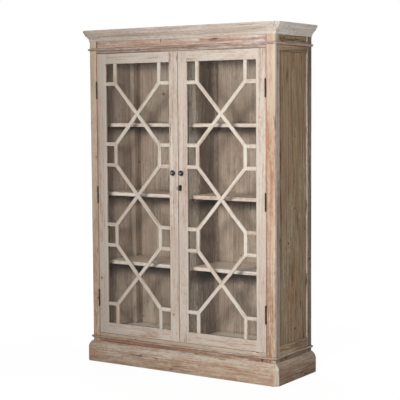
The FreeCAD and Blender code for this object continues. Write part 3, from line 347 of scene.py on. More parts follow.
# Waves per metre in the pine, across it, deep in it and along its grain
SWAY = (5.0, 5.0, 1.5)
KNOT_RIM = (160.0, 160.0, 9.0)
CRACK_LINES = (42.0, 42.0, 1.4)
CRACK_PLACES = (13.0, 13.0, 2.1)
FIBRES = (430.0, 430.0, 7.0)
BROAD = (40.0, 40.0, 1.4)
PATCHES = (11.0, 11.0, 3.0)
LARGE = (3.5, 3.5, 1.6)
STREAKS = (125.0, 125.0, 2.6)
FLECKS = (115.0, 115.0, 36.0)
RIPPLES = (70.0, 70.0, 4.0)
SPECKS = (60.0, 60.0, 34.0)

CRACK_TINT = tone(52, 38, 30)
SPECK_TINT = tone(50, 46, 45)
# Dirt and painted shade in corners and creases
DIRT_AND_SHADE_TINT = tone(74, 56, 42)
# Painted shade, multiplied in for the fall of the light across and down the front
PAINTED_SHADE_TINT = tone(177, 169, 159)
# Painted shadow, laid over in its zones
PAINTED_SHADOW_TINT = tone(112, 99, 88)


@dataclass(frozen=True)
class LimedPine(Finish):
    """Old pine under a worn coat of lime.

    Attributes:
        heart: The wood between the growth lines.
        growth: The growth lines.
        streak: Broad warm streaks in the wood.
        lime: The coat of lime.
        veil: A second tint of the lime, in large patches.
        knot: The knots.
        cover: How much of the wood the lime hides.
        patchy: How uneven the lime is.
        ring_gap: Distance between growth lines.
        knot_share: Share of the places for a knot that have one.
        knot_size: Radius of the largest knot.
        crack_width: Width of the drying cracks, as a share of their spacing.
        crack_share: How far the cracks spread, 0 to 1.
        edge_lime: How much lighter the edges are, with lime and a painted highlight.
        dirt: How dark the corners are, with dirt and painted shade.
        fine: How many times finer the streaks are than on a wide board.
        spots: Strength of dark specks.
        rough: Roughness under full lime.
        relief: Depth of the growth lines.
        bands: Zones with more or less lime; some paint light and shade.
        smoke: Zones darkened with painted shadow.
    """

    heart: Tint
    growth: Tint
    streak: Tint
    lime: Tint
    veil: Tint
    knot: Tint = tone(92, 58, 40)
    cover: float = 0.5
    patchy: float = 1.0
    ring_gap: float = 0.0055
    knot_share: float = 0.45
    knot_size: float = 0.009
    crack_width: float = 0.012
    crack_share: float = 0.35
    edge_lime: float = 0.45
    dirt: float = 0.45
    fine: float = 1.0
    spots: float = 0.0
    rough: float = 0.72
    relief: float = 0.0009
    bands: tuple[Zone, ...] = ()
    smoke: tuple[Zone, ...] = ()

    def knots(self, recipe: Recipe, angle: Socket, radius: Socket,
              along: Socket) -> tuple[Socket, Socket]:
        """Branches that grow out from the middle of the tree.

        Args:
            recipe: The node tree.
            angle: Turn round the middle of the tree.
            radius: Distance from it.
            along: Place along it.

        Returns:
            The knot itself and the bulge of the growth lines round it, each from 0 to 1.
        """
        turn_rate, run_rate = 1.3, 2.6
        place = recipe.join(recipe.times(angle, turn_rate), recipe.times(along, run_rate), 0.0)
        cells = recipe.add("ShaderNodeTexVoronoi", voronoi_dimensions="2D", feature="F1")
        cells.inputs["Scale"].default_value = 1.0
        recipe.feed(cells.inputs["Vector"], place)
        off_x, off_y, _ = recipe.split(recipe.vector("SUBTRACT", place, cells.outputs["Position"]))
        sideways = recipe.times(recipe.maths("DIVIDE", off_x, turn_rate), radius)
        upwards = recipe.maths("DIVIDE", off_y, run_rate)
        away = recipe.vector("LENGTH", recipe.join(sideways, upwards, 0.0))
        chance, shape, _ = recipe.split(cells.outputs["Color"])
        size = recipe.fade(chance, 1.0 - self.knot_share, 1.0, 0.001, self.knot_size,
                           soft=False, held=False)
        uneven = recipe.noise(recipe.join(sideways, upwards, shape), KNOT_RIM, detail=1.0)
        away = recipe.swing(away, uneven.outputs[0], 0.006)
        core = recipe.fade(away, recipe.maths("ADD", size, 0.0012),
                           recipe.maths("SUBTRACT", size, 0.0016))
        present = recipe.fade(size, 0.0, 0.002)
        swirl = recipe.fade(away, recipe.lift(0.016, size, 3.0), size)
        return core, recipe.times(swirl, present)

    def cracks(self, recipe: Recipe, grain: Socket) -> Socket:
        """Thin drying cracks along the grain.

        Args:
            recipe: The node tree.
            grain: Place in the tree that the board was cut from.

        Returns:
            How far a point lies in a crack, from 0 to 1.
        """
        lines = recipe.noise(grain, CRACK_LINES, rough=0.55)
        near = recipe.maths("ABSOLUTE", recipe.maths("SUBTRACT", lines.outputs[0], 0.5))
        line = recipe.fade(near, self.crack_width, self.crack_width * 0.35)
        where = recipe.noise(grain, CRACK_PLACES)
        edge = 0.68 - 0.36 * self.crack_share
        return recipe.times(line, recipe.fade(where.outputs[0], edge, edge + 0.06))

    def zoned(self, recipe: Recipe, zones: tuple[Zone, ...], level: Socket) -> Socket:
        """A level with the amounts of its zones added.

        Args:
            recipe: The node tree.
            zones: The zones.
            level: The level without them.

        Returns:
            The level with them.
        """
        across, deep, up = recipe.split(recipe.place())
        parts = (recipe.maths("ABSOLUTE", across), deep, up)
        for zone in zones:
            more = recipe.fade(parts[zone.axis.value], zone.start, zone.end, 0.0, zone.amount)
            level = recipe.maths("ADD", level, more)
        return level

    def mix(self, recipe: Recipe) -> None:
        """Fills the node tree.

        Args:
            recipe: The node tree.
        """
        grain = recipe.add("ShaderNodeAttribute", attribute_name="grain").outputs["Vector"]
        wash, soil = (recipe.add("ShaderNodeAttribute", attribute_name=name).outputs["Fac"]
                      for name in ("wash", "soil"))
        sway = recipe.noise(grain, SWAY, detail=1.5).outputs[1]
        sway = recipe.vector("MULTIPLY", recipe.vector("SUBTRACT", sway, (0.5, 0.5, 0.5)),
                             (0.030, 0.030, 0.0))
        across, deep, along = recipe.split(recipe.vector("ADD", grain, sway))
        angle = recipe.maths("ARCTAN2", deep, across)
        radius = recipe.vector("LENGTH", recipe.join(across, deep, 0.0))
        knot, swirl = self.knots(recipe, angle, radius, along)
        broad_waves, patch_waves = (tuple(self.fine * step for step in waves)
                                    for waves in (BROAD, PATCHES))
        fibre, broad, patch, large, streaks, flecks, ripple = (
            recipe.noise(grain, waves, detail, rough, warp).outputs[0]
            for waves, detail, rough, warp in (
                (FIBRES, 3.0, 0.6, 0.0), (broad_waves, 3.0, 0.6, 0.0),
                (patch_waves, 5.0, 0.66, 0.3), (LARGE, 2.0, 0.5, 0.0),
                (STREAKS, 2.0, 0.6, 0.0), (FLECKS, 2.0, 0.6, 0.0), (RIPPLES, 2.0, 0.5, 0.0)))

        # The wood: growth lines round the middle of the tree, bulging round the knots
        distance = recipe.lift(recipe.lift(radius, swirl, 0.013), ripple, 0.004)
        phase = recipe.maths("FRACT", recipe.maths("DIVIDE", distance, self.ring_gap))
        rings = recipe.times(recipe.fade(phase, 0.2, 0.82), recipe.fade(phase, 1.0, 0.9))
        lines = recipe.times(rings, recipe.fade(broad, 0.3, 0.7, 0.35, 1.0))
        wood = recipe.blend(lines, self.heart, self.growth)
        wood = recipe.blend(recipe.fade(broad, 0.5, 0.68, 0.0, 0.75), wood, self.streak)
        wood = recipe.blend(recipe.fade(fibre, 0.35, 0.62, 0.32, 0.0), wood, self.growth)
        wood = recipe.blend(recipe.fade(streaks, 0.52, 0.36, 0.0, 0.5), wood, self.growth)

        # The lime: worn in patches and along the fibres, thin on the growth lines
        # Lighter along the outer edges: lime gathered there, and a painted highlight
        worn = recipe.times(recipe.edges(0.0035, 0.03, 0.22),
                            recipe.fade(patch, 0.34, 0.62, 0.25, 1.0))
        level = recipe.maths("ADD", wash, self.cover - 0.5)
        for source, weight in ((patch, self.patchy * 1.6), (fibre, 0.55), (streaks, 1.0),
                               (flecks, 1.0)):
            level = recipe.swing(level, source, weight)
        if self.bands:
            level = self.zoned(recipe, self.bands, level)
        level = recipe.lift(recipe.lift(level, lines, -0.2), worn, self.edge_lime)
        coat = recipe.fade(level, 0.05, 0.95)
        lime = recipe.blend(recipe.fade(large, 0.4, 0.62), self.lime, self.veil)

        # Knots, cracks and what age has left on both
        crack = self.cracks(recipe, grain)
        colour = recipe.blend(coat, wood, lime)
        for share, tint in (
                (recipe.times(swirl, 0.25), self.streak),
                (recipe.times(knot, recipe.fade(coat, 0.0, 1.0, 0.9, 0.6)), self.knot),
                (recipe.times(crack, 0.8), CRACK_TINT)):
            colour = recipe.blend(share, colour, tint)
        if self.spots:
            specks = recipe.noise(grain, SPECKS, detail=3.0, rough=0.7).outputs[0]
            colour = recipe.blend(recipe.fade(specks, 0.6, 0.7, 0.0, self.spots), colour,
                                  SPECK_TINT)
        # Darker in corners, creases and joints: partly dirt, partly painted shade
        corner_dirt_shade = recipe.times(recipe.hollows(0.03, 0.85, 0.25), self.dirt)
        colour = recipe.blend(corner_dirt_shade, colour, DIRT_AND_SHADE_TINT)
        # Painted shade for the fall of the light: darker towards the left and the foot, and on the
        # plinth's sides
        colour = recipe.blend(soil, colour, PAINTED_SHADE_TINT, "MULTIPLY")
        # Painted shadows in their zones, such as under the shelves
        if self.smoke:
            smoke = self.zoned(recipe, self.smoke, recipe.times(patch, 0.1))
            colour = recipe.blend(smoke, colour, PAINTED_SHADOW_TINT, "MULTIPLY")
        recipe.shade({"Base Color": colour, "Specular IOR Level": 0.35,
                      "Roughness": recipe.fade(coat, 0.0, 1.0, self.rough - 0.16,
                                               self.rough + 0.1, soft=False)})
        height = fibre
        for source, weight in ((lines, -0.35), (crack, -1.6), (knot, -0.4), (patch, 0.6)):
            height = recipe.lift(height, source, weight)
        recipe.relief(height, 0.55, self.relief)


@dataclass(frozen=True)
class AgedMetal(Finish):
    """Metal with a worn skin.

    Attributes:
        skin: The tarnished or painted colour.
        bloom: Lighter patches in it.
        bright: Bare metal where the edges are rubbed through; also the colour of painted glints
            and of the knob's painted highlight.
        metallic: How much it shines as metal.
        rough: Roughness of the skin.
        wear: How bare the edges are; on the escutcheon this also paints glints.
        lacquer: How much clear lacquer it still has.
        crown: Y in front of which a knob gets a painted highlight, where there is one.
    """

    skin: Tint
    bloom: Tint
    bright: Tint
    metallic: float = 0.8
    rough: float = 0.42
    wear: float = 0.7
    lacquer: float = 0.0
    crown: float | None = None

    def mix(self, recipe: Recipe) -> None:
        """Fills the node tree.

        Args:
            recipe: The node tree.
        """
        place = recipe.place()
        mottle = recipe.noise(place, (240.0, 240.0, 240.0), detail=4.0, rough=0.6).outputs[0]
        drift = recipe.noise(place, (60.0, 60.0, 45.0)).outputs[0]
        pits = recipe.noise(place, (900.0, 900.0, 900.0)).outputs[0]
        colour = recipe.blend(recipe.fade(mottle, 0.42, 0.66), self.skin, self.bloom)
        # Lighter along the edges: bare metal, and on the escutcheon painted glints
        wear_and_glint = recipe.times(recipe.edges(0.0012, 0.02, 0.25),
                           recipe.fade(drift, 0.35, 0.6, 0.2, self.wear))
        # A painted highlight on the front of a knob
        if self.crown is not None:
            _, depth, _ = recipe.split(place)
            painted_highlight = recipe.fade(depth, self.crown + 0.0005, self.crown - 0.0002)
            wear_and_glint = recipe.maths("MAXIMUM", wear_and_glint, recipe.times(
                painted_highlight, recipe.fade(mottle, 0.3, 0.55, 0.35, 1.0)))
        base = recipe.fade(mottle, 0.3, 0.7, self.rough - 0.1, self.rough + 0.14)
        recipe.shade({"Base Color": recipe.blend(wear_and_glint, colour, self.bright),
                      "Metallic": self.metallic, "Coat Weight": self.lacquer,
                      "Coat Roughness": 0.12, "Roughness": recipe.lift(base, wear_and_glint, -0.12)})
        recipe.relief(recipe.lift(mottle, pits, 0.4), 0.35, 0.0003)


@dataclass(frozen=True)
class WindowGlass(Finish):
    """Old drawn glass, faintly green and faintly wavy.

    Attributes:
        tint: Colour that light takes on in it.
        bend: How strongly it bends and mirrors light.
        rough: Roughness of its face.
        wave: Depth of its waves, in metres.
    """

    tint: Tint = tone(252, 253, 252)
    bend: float = 1.3
    rough: float = 0.02
    wave: float = 0.0009

    def mix(self, recipe: Recipe) -> None:
        """Fills the node tree.

        Args:
            recipe: The node tree.
        """
        place = recipe.place()
        waves = recipe.noise(place, (5.0, 5.0, 2.6), detail=1.0).outputs[0]
        smears = recipe.noise(place, (26.0, 26.0, 14.0), detail=3.0).outputs[0]
        recipe.shade({"Base Color": self.tint, "Transmission Weight": 1.0, "IOR": self.bend,
                      "Roughness": recipe.fade(smears, 0.4, 0.75, self.rough * 0.5,
                                               self.rough * 2.0)})
        recipe.relief(waves, 0.5, self.wave)
        clear = recipe.add("ShaderNodeBsdfTransparent")
        clear.inputs["Color"].default_value = self.tint
        path = recipe.add("ShaderNodeLightPath")
        recipe.overlay(recipe.maths("MAXIMUM", path.outputs["Is Shadow Ray"],
                                    path.outputs["Is Diffuse Ray"]), clear)


# Painted shadows under the three shelves: where each starts, where it is full, the underside of
# the shelf, where it ends, and how dark it is
SHADOWS_UNDER_SHELVES = tuple(
    zone
    for start, full, underside, dark in ((0.49, 0.575, 0.613, 0.8), (0.95, 1.02, 1.055, 0.6),
                                         (1.42, 1.47, 1.497, 0.5))
    for zone in (Zone(Axis.UP, start, full, dark),
                 Zone(Axis.UP, underside - 0.002, underside, -dark)))


class Wood(Enum):
    """The limed finishes of the pine, by the part of the bookcase."""

    HEADER = LimedPine(
        "limed_pine_header", heart=tone(162, 138, 122), growth=tone(122, 95, 78),
        streak=tone(172, 136, 118), lime=tone(195, 182, 173), veil=tone(180, 164, 153),
        cover=0.5, knot_share=0.15, crack_share=0.5, fine=1.6)
    # A strip of more lime along the inner edges of the hinge stiles, partly lime and partly a
    # painted edge highlight
    DOOR = LimedPine(
        "limed_pine_doors", heart=tone(186, 160, 137), growth=tone(155, 115, 88),
        streak=tone(193, 150, 123), lime=tone(208, 198, 188), veil=tone(200, 187, 177),
        cover=0.74, patchy=0.95, knot_share=0.15, crack_share=0.2,
        bands=(Zone(Axis.ACROSS, 0.572, 0.554, 0.55),
               Zone(Axis.ACROSS, 0.547, 0.540, -0.55)))
    LATTICE = LimedPine(
        "limed_pine_lattice", heart=tone(201, 179, 159), growth=tone(174, 142, 114),
        streak=tone(206, 173, 150), lime=tone(220, 214, 203), veil=tone(211, 201, 191),
        cover=0.72, knot_share=0.12, knot_size=0.004, crack_share=0.15, fine=2.0)
    CASE = LimedPine(
        "limed_pine_case", heart=tone(180, 140, 109), growth=tone(147, 102, 71),
        streak=tone(195, 140, 107), lime=tone(209, 192, 174), veil=tone(201, 180, 160),
        cover=0.5, knot_share=0.35,
        bands=(Zone(Axis.ACROSS, 0.657, 0.664, 0.15), Zone(Axis.ACROSS, 0.622, 0.6175, -1.0),
               Zone(Axis.UP, 1.45, 1.80, 0.3)))
    FRIEZE = LimedPine(
        "rubbed_pine_frieze", heart=tone(203, 168, 149), growth=tone(158, 118, 97),
        streak=tone(216, 166, 147), lime=tone(229, 223, 219), veil=tone(214, 200, 185),
        cover=0.36, patchy=0.9, knot_share=0.2, knot_size=0.007, crack_share=0.6,
        crack_width=0.012, fine=2.6,
        bands=(Zone(Axis.UP, 2.012, 2.030, 0.3), Zone(Axis.UP, 2.002, 1.988, 0.35)))
    NECK = LimedPine(
        "bare_pine_neck", heart=tone(178, 137, 110), growth=tone(129, 89, 68),
        streak=tone(196, 135, 108), lime=tone(218, 203, 185), veil=tone(201, 182, 161),
        cover=0.26, knot_share=0.5, crack_share=0.6,
        bands=(Zone(Axis.UP, 0.150, 0.163, 0.55),))
    PLINTH = LimedPine(
        "rubbed_pine_plinth", heart=tone(192, 159, 132), growth=tone(146, 109, 83),
        streak=tone(208, 159, 142), lime=tone(217, 211, 200), veil=tone(204, 193, 177),
        cover=0.36, patchy=0.65, knot_share=0.5, knot_size=0.008, crack_share=0.45, fine=2.4,
        bands=(Zone(Axis.UP, 0.080, 0.104, 0.2),))
    CORNICE = LimedPine(
        "weathered_pine_cornice", heart=tone(196, 179, 166), growth=tone(168, 150, 137),
        streak=tone(206, 187, 166), lime=tone(227, 219, 211), veil=tone(213, 203, 193),
        cover=0.5, patchy=0.3, knot_share=0.2, crack_share=0.3, dirt=0.3, fine=2.8)
    BEAD = LimedPine(
        "limed_pine_beads", heart=tone(170, 143, 128), growth=tone(134, 102, 85),
        streak=tone(177, 141, 126), lime=tone(208, 193, 186), veil=tone(192, 175, 166),
        cover=0.52, knot_share=0.2, crack_share=0.4, dirt=0.2, fine=2.4)
    POST = LimedPine(
        "greyed_pine_posts", heart=tone(157, 142, 130), growth=tone(120, 103, 90),
        streak=tone(168, 145, 132), lime=tone(191, 181, 173), veil=tone(177, 165, 158),
        cover=0.6, knot_share=0.3, crack_share=0.5, dirt=0.15)
    # More lime along the front edge of the rear posts paints a highlight there
    REAR_POST = LimedPine(
        "stained_pine_rear_posts", heart=tone(143, 128, 114), growth=tone(102, 87, 76),
        streak=tone(150, 125, 106), lime=tone(220, 208, 195), veil=tone(174, 163, 152),
        cover=0.16, patchy=0.8, knot_share=0.6, crack_share=0.7, spots=0.8, dirt=0.05,
        bands=(Zone(Axis.DEEP, 0.1935, 0.1895, 0.9),))
    SIDE = LimedPine(
        "waxed_pine_sides", heart=tone(165, 140, 109), growth=tone(117, 89, 65),
        streak=tone(186, 137, 98), lime=tone(186, 179, 157), veil=tone(172, 158, 134),
        cover=0.34, patchy=0.7, knot_share=0.75, knot_size=0.008, crack_share=0.75,
        crack_width=0.018, fine=1.6)
    # Inside: a painted shade strip beside the rear posts in the back corners, and painted shadows
    # under the shelves
    INSIDE = LimedPine(
        "dull_pine_inside", heart=tone(167, 146, 128), growth=tone(129, 108, 93),
        streak=tone(161, 134, 116), lime=tone(196, 180, 165), veil=tone(179, 160, 144),
        cover=0.56, patchy=0.7, knot_share=0.3, crack_share=0.25, crack_width=0.014,
        edge_lime=0.1, dirt=0.5, fine=1.5,
        bands=(Zone(Axis.ACROSS, 0.588, 0.597, -0.9), Zone(Axis.ACROSS, 0.612, 0.616, 0.9)),
        smoke=SHADOWS_UNDER_SHELVES + (Zone(Axis.ACROSS, 0.588, 0.596, 0.35),
                               Zone(Axis.ACROSS, 0.612, 0.616, -0.35)))
    BACK = LimedPine(
        "bare_pine_back", heart=tone(178, 148, 118), growth=tone(140, 104, 76),
        streak=tone(182, 142, 110), lime=tone(196, 180, 160), veil=tone(184, 164, 142),
        cover=0.22, patchy=0.8, knot_share=0.7, crack_share=0.6, dirt=0.3)
    SHELF = LimedPine(
        "limed_pine_shelves", heart=tone(191, 168, 151), growth=tone(154, 128, 108),
        streak=tone(185, 153, 133), lime=tone(238, 229, 217), veil=tone(235, 217, 204),
        cover=0.78, patchy=0.5, knot_share=0.3, crack_share=0.15, edge_lime=0.7, dirt=0.2)
    # The partition: more lime near its front and its back paints light there, a painted shadow
    # darkens its middle, and painted shadows lie under the shelves
    CHEEK = LimedPine(
        "limed_pine_partition", heart=tone(150, 131, 115), growth=tone(116, 97, 82),
        streak=tone(150, 126, 109), lime=tone(246, 234, 219), veil=tone(236, 222, 206),
        cover=0.22, patchy=0.8, knot_share=0.3, crack_share=0.25, edge_lime=0.1, dirt=0.3,
        bands=(Zone(Axis.DEEP, 0.02, -0.07, 0.55), Zone(Axis.DEEP, 0.15, 0.21, 0.3)),
        smoke=SHADOWS_UNDER_SHELVES + (Zone(Axis.DEEP, -0.01, 0.05, 0.35),
                               Zone(Axis.DEEP, 0.15, 0.21, -0.3)))
    # Glazing beads and shelf bearers stained dark; the darkness also paints the shade behind the
    # glass and under the shelves
    BEADING = LimedPine(
        "stained_pine_beading", heart=tone(98, 80, 64), growth=tone(72, 56, 44),
        streak=tone(104, 82, 64), lime=tone(150, 132, 114), veil=tone(128, 110, 94),
        cover=0.25, knot_share=0.1, knot_size=0.003, crack_share=0.2)


class Hardware(Enum):
    """The finishes of the metalwork and the glass."""

    # The knob's front gets a painted highlight and the escutcheon's edges painted glints
    KNOB = AgedMetal("dark_bronze_knobs", skin=tone(22, 16, 13), bloom=tone(34, 25, 20),
                     bright=tone(206, 194, 178), metallic=0.15, rough=0.32, wear=0.2,
                     lacquer=0.3, crown=-0.2281)
    BRONZE = AgedMetal("dark_bronze_skin", skin=tone(26, 20, 16), bloom=tone(42, 33, 26),
                       bright=tone(214, 198, 172), metallic=0.2, rough=0.3, wear=0.9,
                       lacquer=0.3)
    HINGE = AgedMetal("rusted_hinge_iron", skin=tone(44, 33, 27), bloom=tone(70, 52, 41),
                      bright=tone(150, 128, 108), metallic=0.55, rough=0.55)
    BRASS = AgedMetal("worn_key_brass", skin=tone(84, 70, 54), bloom=tone(118, 100, 78),
                      bright=tone(226, 212, 184), metallic=0.3, rough=0.34)
    STEEL = AgedMetal("lock_steel_skin", skin=tone(96, 92, 88), bloom=tone(128, 122, 116),
                      bright=tone(176, 172, 166), metallic=0.85, rough=0.4)
    GLASS = WindowGlass("drawn_glass")


class Side(Enum):
    """The two sides of the bookcase, by the sign of X."""

    LEFT = -1
    RIGHT = 1

    @property
    def word(self) -> str:
        """The side as the nodes name it."""
        return self.name.lower()


# Timber

FLAT_TURN = math.radians(0.6)
SHARP_TURN = math.radians(38)
CREASE_TURN = math.radians(21)
SHORTEST_EASED = 0.012
FLAT_SAWN_SHARE = 0.7

# How the painted shade runs: in the middle, per metre to the right, per square metre, and per
# metre down
SHADE_MIDDLE, SHADE_RIGHT, SHADE_CURVE, SHADE_DOWN = 0.13, -0.31, 0.33, 0.03
MIDDLE_HEIGHT = 1.05


def islands(bm: bmesh.types.BMesh) -> list[list[bmesh.types.BMVert]]:
    """The separate solids of a mesh.

    Args:
        bm: The mesh.

    Returns:
        The vertices of each solid.
    """
    seen: set[bmesh.types.BMVert] = set()
    found: list[list[bmesh.types.BMVert]] = []
    for vert in bm.verts:
        if vert in seen:
            continue
        group, waiting = [], [vert]
        seen.add(vert)
        while waiting:
            here = waiting.pop()
            group.append(here)
            for edge in here.link_edges:
                other = edge.other_vert(here)
                if other not in seen:
                    seen.add(other)
                    waiting.append(other)
        found.append(group)
    return found


def board_axes(group: Sequence[bmesh.types.BMVert]) -> tuple[Vector, Vector, Vector]:
    """The directions of one board.

    Args:
        group: Its vertices.

    Returns:
        Across its thickness, across its width and along its grain.
    """
    edges = [edge for vert in group for edge in vert.link_edges]
    longest = max(edges, key=lambda edge: edge.calc_length())
    along = (longest.verts[1].co - longest.verts[0].co).normalized()
    first = min((Vector((1, 0, 0)), Vector((0, 1, 0)), Vector((0, 0, 1))),
                key=lambda axis: abs(axis.dot(along)))
    first = (first - along * first.dot(along)).normalized()
    second = along.cross(first)

    def extent(axis: Vector) -> float:
        """How far the board reaches along an axis."""
        reach = [vert.co.dot(axis) for vert in group]
        return max(reach) - min(reach)

    thin, wide = sorted((first, second), key=extent)
    return thin, wide, along


@dataclass
class Timber:
    """Boards gathered into one mesh, each cut from its own place in a tree.

    Attributes:
        name: Name of the piece.
        finish: Its finish.
        body: The body it moves with.
        slot: The material slot of the record; not used.
        nodes: The drawn nodes that it stands for.
        wash: How full its lime is, 0.5 for plain.
        vary: How much that differs between boards.
        ease: Radius of its eased edges.
        soiled: Whether it gets painted shade, darker towards the left and the foot.
        lots: Lime and painted shade added to each board, in their order; none where it is empty.
        inner: Finish of the faces that look into the case, where they have another.
        mesh: Its mesh, empty at first.
    """

    name: str
    finish: Wood
    body: str
    slot: str
    nodes: tuple[str, ...]
    wash: float = 0.5
    vary: float = 0.08
    ease: float = 0.0009
    soiled: bool = False
    lots: tuple[Spot, ...] = ()
    inner: Wood | None = None
    mesh: bmesh.types.BMesh = field(default_factory=bmesh.new)

    def carry(self) -> None:
        """Takes the drawn shape of the nodes, with whole faces in place of triangles."""
        for node in self.nodes:
            self.mesh.from_mesh(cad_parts[node].data)
        bmesh.ops.remove_doubles(self.mesh, verts=self.mesh.verts[:], dist=1e-5)
        bmesh.ops.dissolve_limit(self.mesh, angle_limit=FLAT_TURN,
                                 verts=self.mesh.verts[:], edges=self.mesh.edges[:])

    def bar(self, corners: Sequence[Spot], front: float, back: float) -> None:
        """A flat bar given by its outline as seen from the front.

        Args:
            corners: Corners of the outline, each (X, Z).
            front: Y of its front face.
            back: Y of its back face.
        """
        near = [self.mesh.verts.new((x, front, z)) for x, z in corners]
        far = [self.mesh.verts.new((x, back, z)) for x, z in corners]
        self.close(near, far)

    def close(self, near: Sequence[bmesh.types.BMVert], far: Sequence[bmesh.types.BMVert]) -> None:
        """Faces between two matching rings of vertices, and over both.

        Args:
            near: The first ring.
            far: The second ring.
        """
        self.mesh.faces.new(near)
        self.mesh.faces.new(list(reversed(far)))
        for index in range(len(near)):
            following = (index + 1) % len(near)
            self.mesh.faces.new((near[following], near[index], far[index], far[following]))

    def ease_edges(self) -> None:
        """Rounds the long outer edges."""
        bmesh.ops.recalc_face_normals(self.mesh, faces=self.mesh.faces[:])
        sharp = [edge for edge in self.mesh.edges
                 if len(edge.link_faces) == 2 and edge.is_convex
                 and edge.calc_face_angle(0.0) > SHARP_TURN
                 and edge.calc_length() > SHORTEST_EASED]
        bmesh.ops.bevel(self.mesh, geom=sharp, offset=self.ease, offset_type="OFFSET", segments=2,
                        profile=0.5, affect="EDGES", clamp_overlap=True)

    def lay_grain(self) -> None:
        """Gives every vertex its place in the tree, and every board its share of lime."""
        grain = self.mesh.verts.layers.float_vector.new("grain")
        wash = self.mesh.verts.layers.float.new("wash")
        soil = self.mesh.verts.layers.float.new("soil")
        luck = random.Random(self.name)
        for index, group in enumerate(islands(self.mesh)):
            lime, extra_shade = self.lots[index] if self.lots else (0.0, 0.0)
            thin, wide, along = board_axes(group)
            middle = sum((vert.co for vert in group), Vector()) / len(group)
            flat_sawn = luck.random() < FLAT_SAWN_SHARE
            near, far = luck.uniform(0.025, 0.07), luck.uniform(-0.03, 0.03)
            offset = Vector((near, far, 0)) if flat_sawn else Vector((far, near + 0.06, 0))
            offset.z = luck.uniform(2.0, 60.0)
            lean = luck.uniform(-0.02, 0.02)
            share = self.wash + lime + luck.uniform(-self.vary, self.vary)
            for vert in group:
                here = vert.co - middle
                place = Vector((here.dot(thin), here.dot(wide), here.dot(along)))
                vert[grain] = place + offset + Vector((lean * place.z, 0.5 * lean * place.z, 0))
                vert[wash] = share
                vert[soil] = min(1.0, self.soil_at(vert.co) + extra_shade)

    def soil_at(self, place: Vector) -> float:
        """How much painted shade, for the fall of the light, a place gets; palest at the right and
        the top.

        Args:
            place: A place on the piece.

        Returns:
            The share of painted shade, 0 to 1.
        """
        if not self.soiled:
            return 0.0
        level = (SHADE_MIDDLE + SHADE_RIGHT * place.x + SHADE_CURVE * place.x ** 2
                 + SHADE_DOWN * (MIDDLE_HEIGHT - place.z))
        return min(1.0, max(0.0, level))

    def finished(self) -> bpy.types.Object:
        """The piece, dressed and set on its body.

        Returns:
            The object.
        """
        self.ease_edges()
        self.lay_grain()
        shape = bpy.data.meshes.new(self.name)
        self.mesh.to_mesh(shape)
        self.mesh.free()
        shape.shade_smooth()
        shape.set_sharp_from_angle(angle=CREASE_TURN)
        shape.materials.append(self.finish.value.material())
        if self.inner is not None:
            shape.materials.append(self.inner.value.material())
            for face in shape.polygons:
                outwards = face.normal.x * face.center.x + face.normal.y * face.center.y
                face.material_index = int(outwards < 0.0)
        piece = bpy.data.objects.new(self.name, shape)
        bpy.context.scene.collection.objects.link(piece)
        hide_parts(*self.nodes)
        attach(piece, self.body)
        log.info("%s: %d faces", self.name, len(shape.polygons))
        return piece


@dataclass
class Carcass:
    """The case itself: face frame, posts, side panels, boards, back and shelves.

    Attributes:
        ease: Radius of its eased edges.
        left_wash: Fullness of the lime at the left of the face frame.
        right_wash: Fullness at the right.
    """

    ease: float = 0.0012
    left_wash: float = 0.9
    right_wash: float = 0.55

    def board(self, node: str, finish: Wood, slot: str, wash: float = 0.5,
              soiled: bool = False, inner: Wood | None = None) -> None:
        """One node of the case in its own finish.

        Args:
            node: The node.
            finish: Its finish.
            slot: Its material slot.
            wash: Fullness of its lime.
            soiled: Whether it gets painted shade, darker towards the left and the foot.
            inner: Finish of its faces that look into the case, where they have another.
        """
        piece = Timber(f"{node}_wood", finish, "case", slot, (node,), wash=wash, ease=self.ease,
                       soiled=soiled, inner=inner)
        piece.carry()
        piece.finished()

    def build(self) -> None:
        """All of the case."""
        for node, finish, wash in (("left_face_stile", Wood.CASE, self.left_wash),
                                   ("right_face_stile", Wood.CASE, self.right_wash),
                                   ("header_rails", Wood.HEADER, 0.5),
                                   ("frieze_panel", Wood.FRIEZE, 0.5),
                                   ("base_rail", Wood.NECK, 0.5)):
            self.board(node, finish, "case_pine", wash, soiled=True)
        for side in Side:
            for part, finish, wash in (("front_post", Wood.POST, 0.5),
                                       ("rear_post", Wood.REAR_POST, 0.5),
                                       ("side_panel", Wood.SIDE, 0.5),
                                       ("side_rails", Wood.SIDE, 0.56)):
                self.board(f"{side.word}_{part}", finish, "case_pine", wash, inner=Wood.INSIDE)
            self.board(f"{side.word}_shelves", Wood.SHELF, "inside_pine")
        for node, finish, inner in (("case_floor", Wood.SHELF, None),
                                    ("centre_partition", Wood.CHEEK, None),
                                    ("shelf_bearers", Wood.BEADING, None),
                                    ("case_top", Wood.BACK, Wood.INSIDE),
                                    ("back_boards", Wood.BACK, Wood.INSIDE),
                                    ("back_rails", Wood.BACK, None)):
            self.board(node, finish, "inside_pine", inner=inner)


# Mouldings

def arc(start: Spot, end: Spot, radius: float, turning: int, count: int = 12) -> list[Spot]:
    """Points along an arc, without its ends.

    Args:
        start: Where it starts, as (out, up).
        end: Where it ends.
        radius: Its radius.
        turning: 1 where it turns left, -1 where it turns right.
        count: How many steps it has.

    Returns:
        The points between the ends.
    """
    first, last = Vector(start), Vector(end)
    chord = last - first
    left = Vector((-chord.y, chord.x)).normalized()
    centre = (first + last) / 2 + left * turning * math.sqrt(radius ** 2 - (chord.length / 2) ** 2)
    begin = math.atan2(*(first - centre).yx)
    finish = math.atan2(*(last - centre).yx)
    if turning > 0 and finish < begin:
        finish += 2 * math.pi
    if turning < 0 and finish > begin:
        finish -= 2 * math.pi
    turns = [begin + (finish - begin) * step / count for step in range(1, count)]
    return [(centre.x + radius * math.cos(turn), centre.y + radius * math.sin(turn))
            for turn in turns]


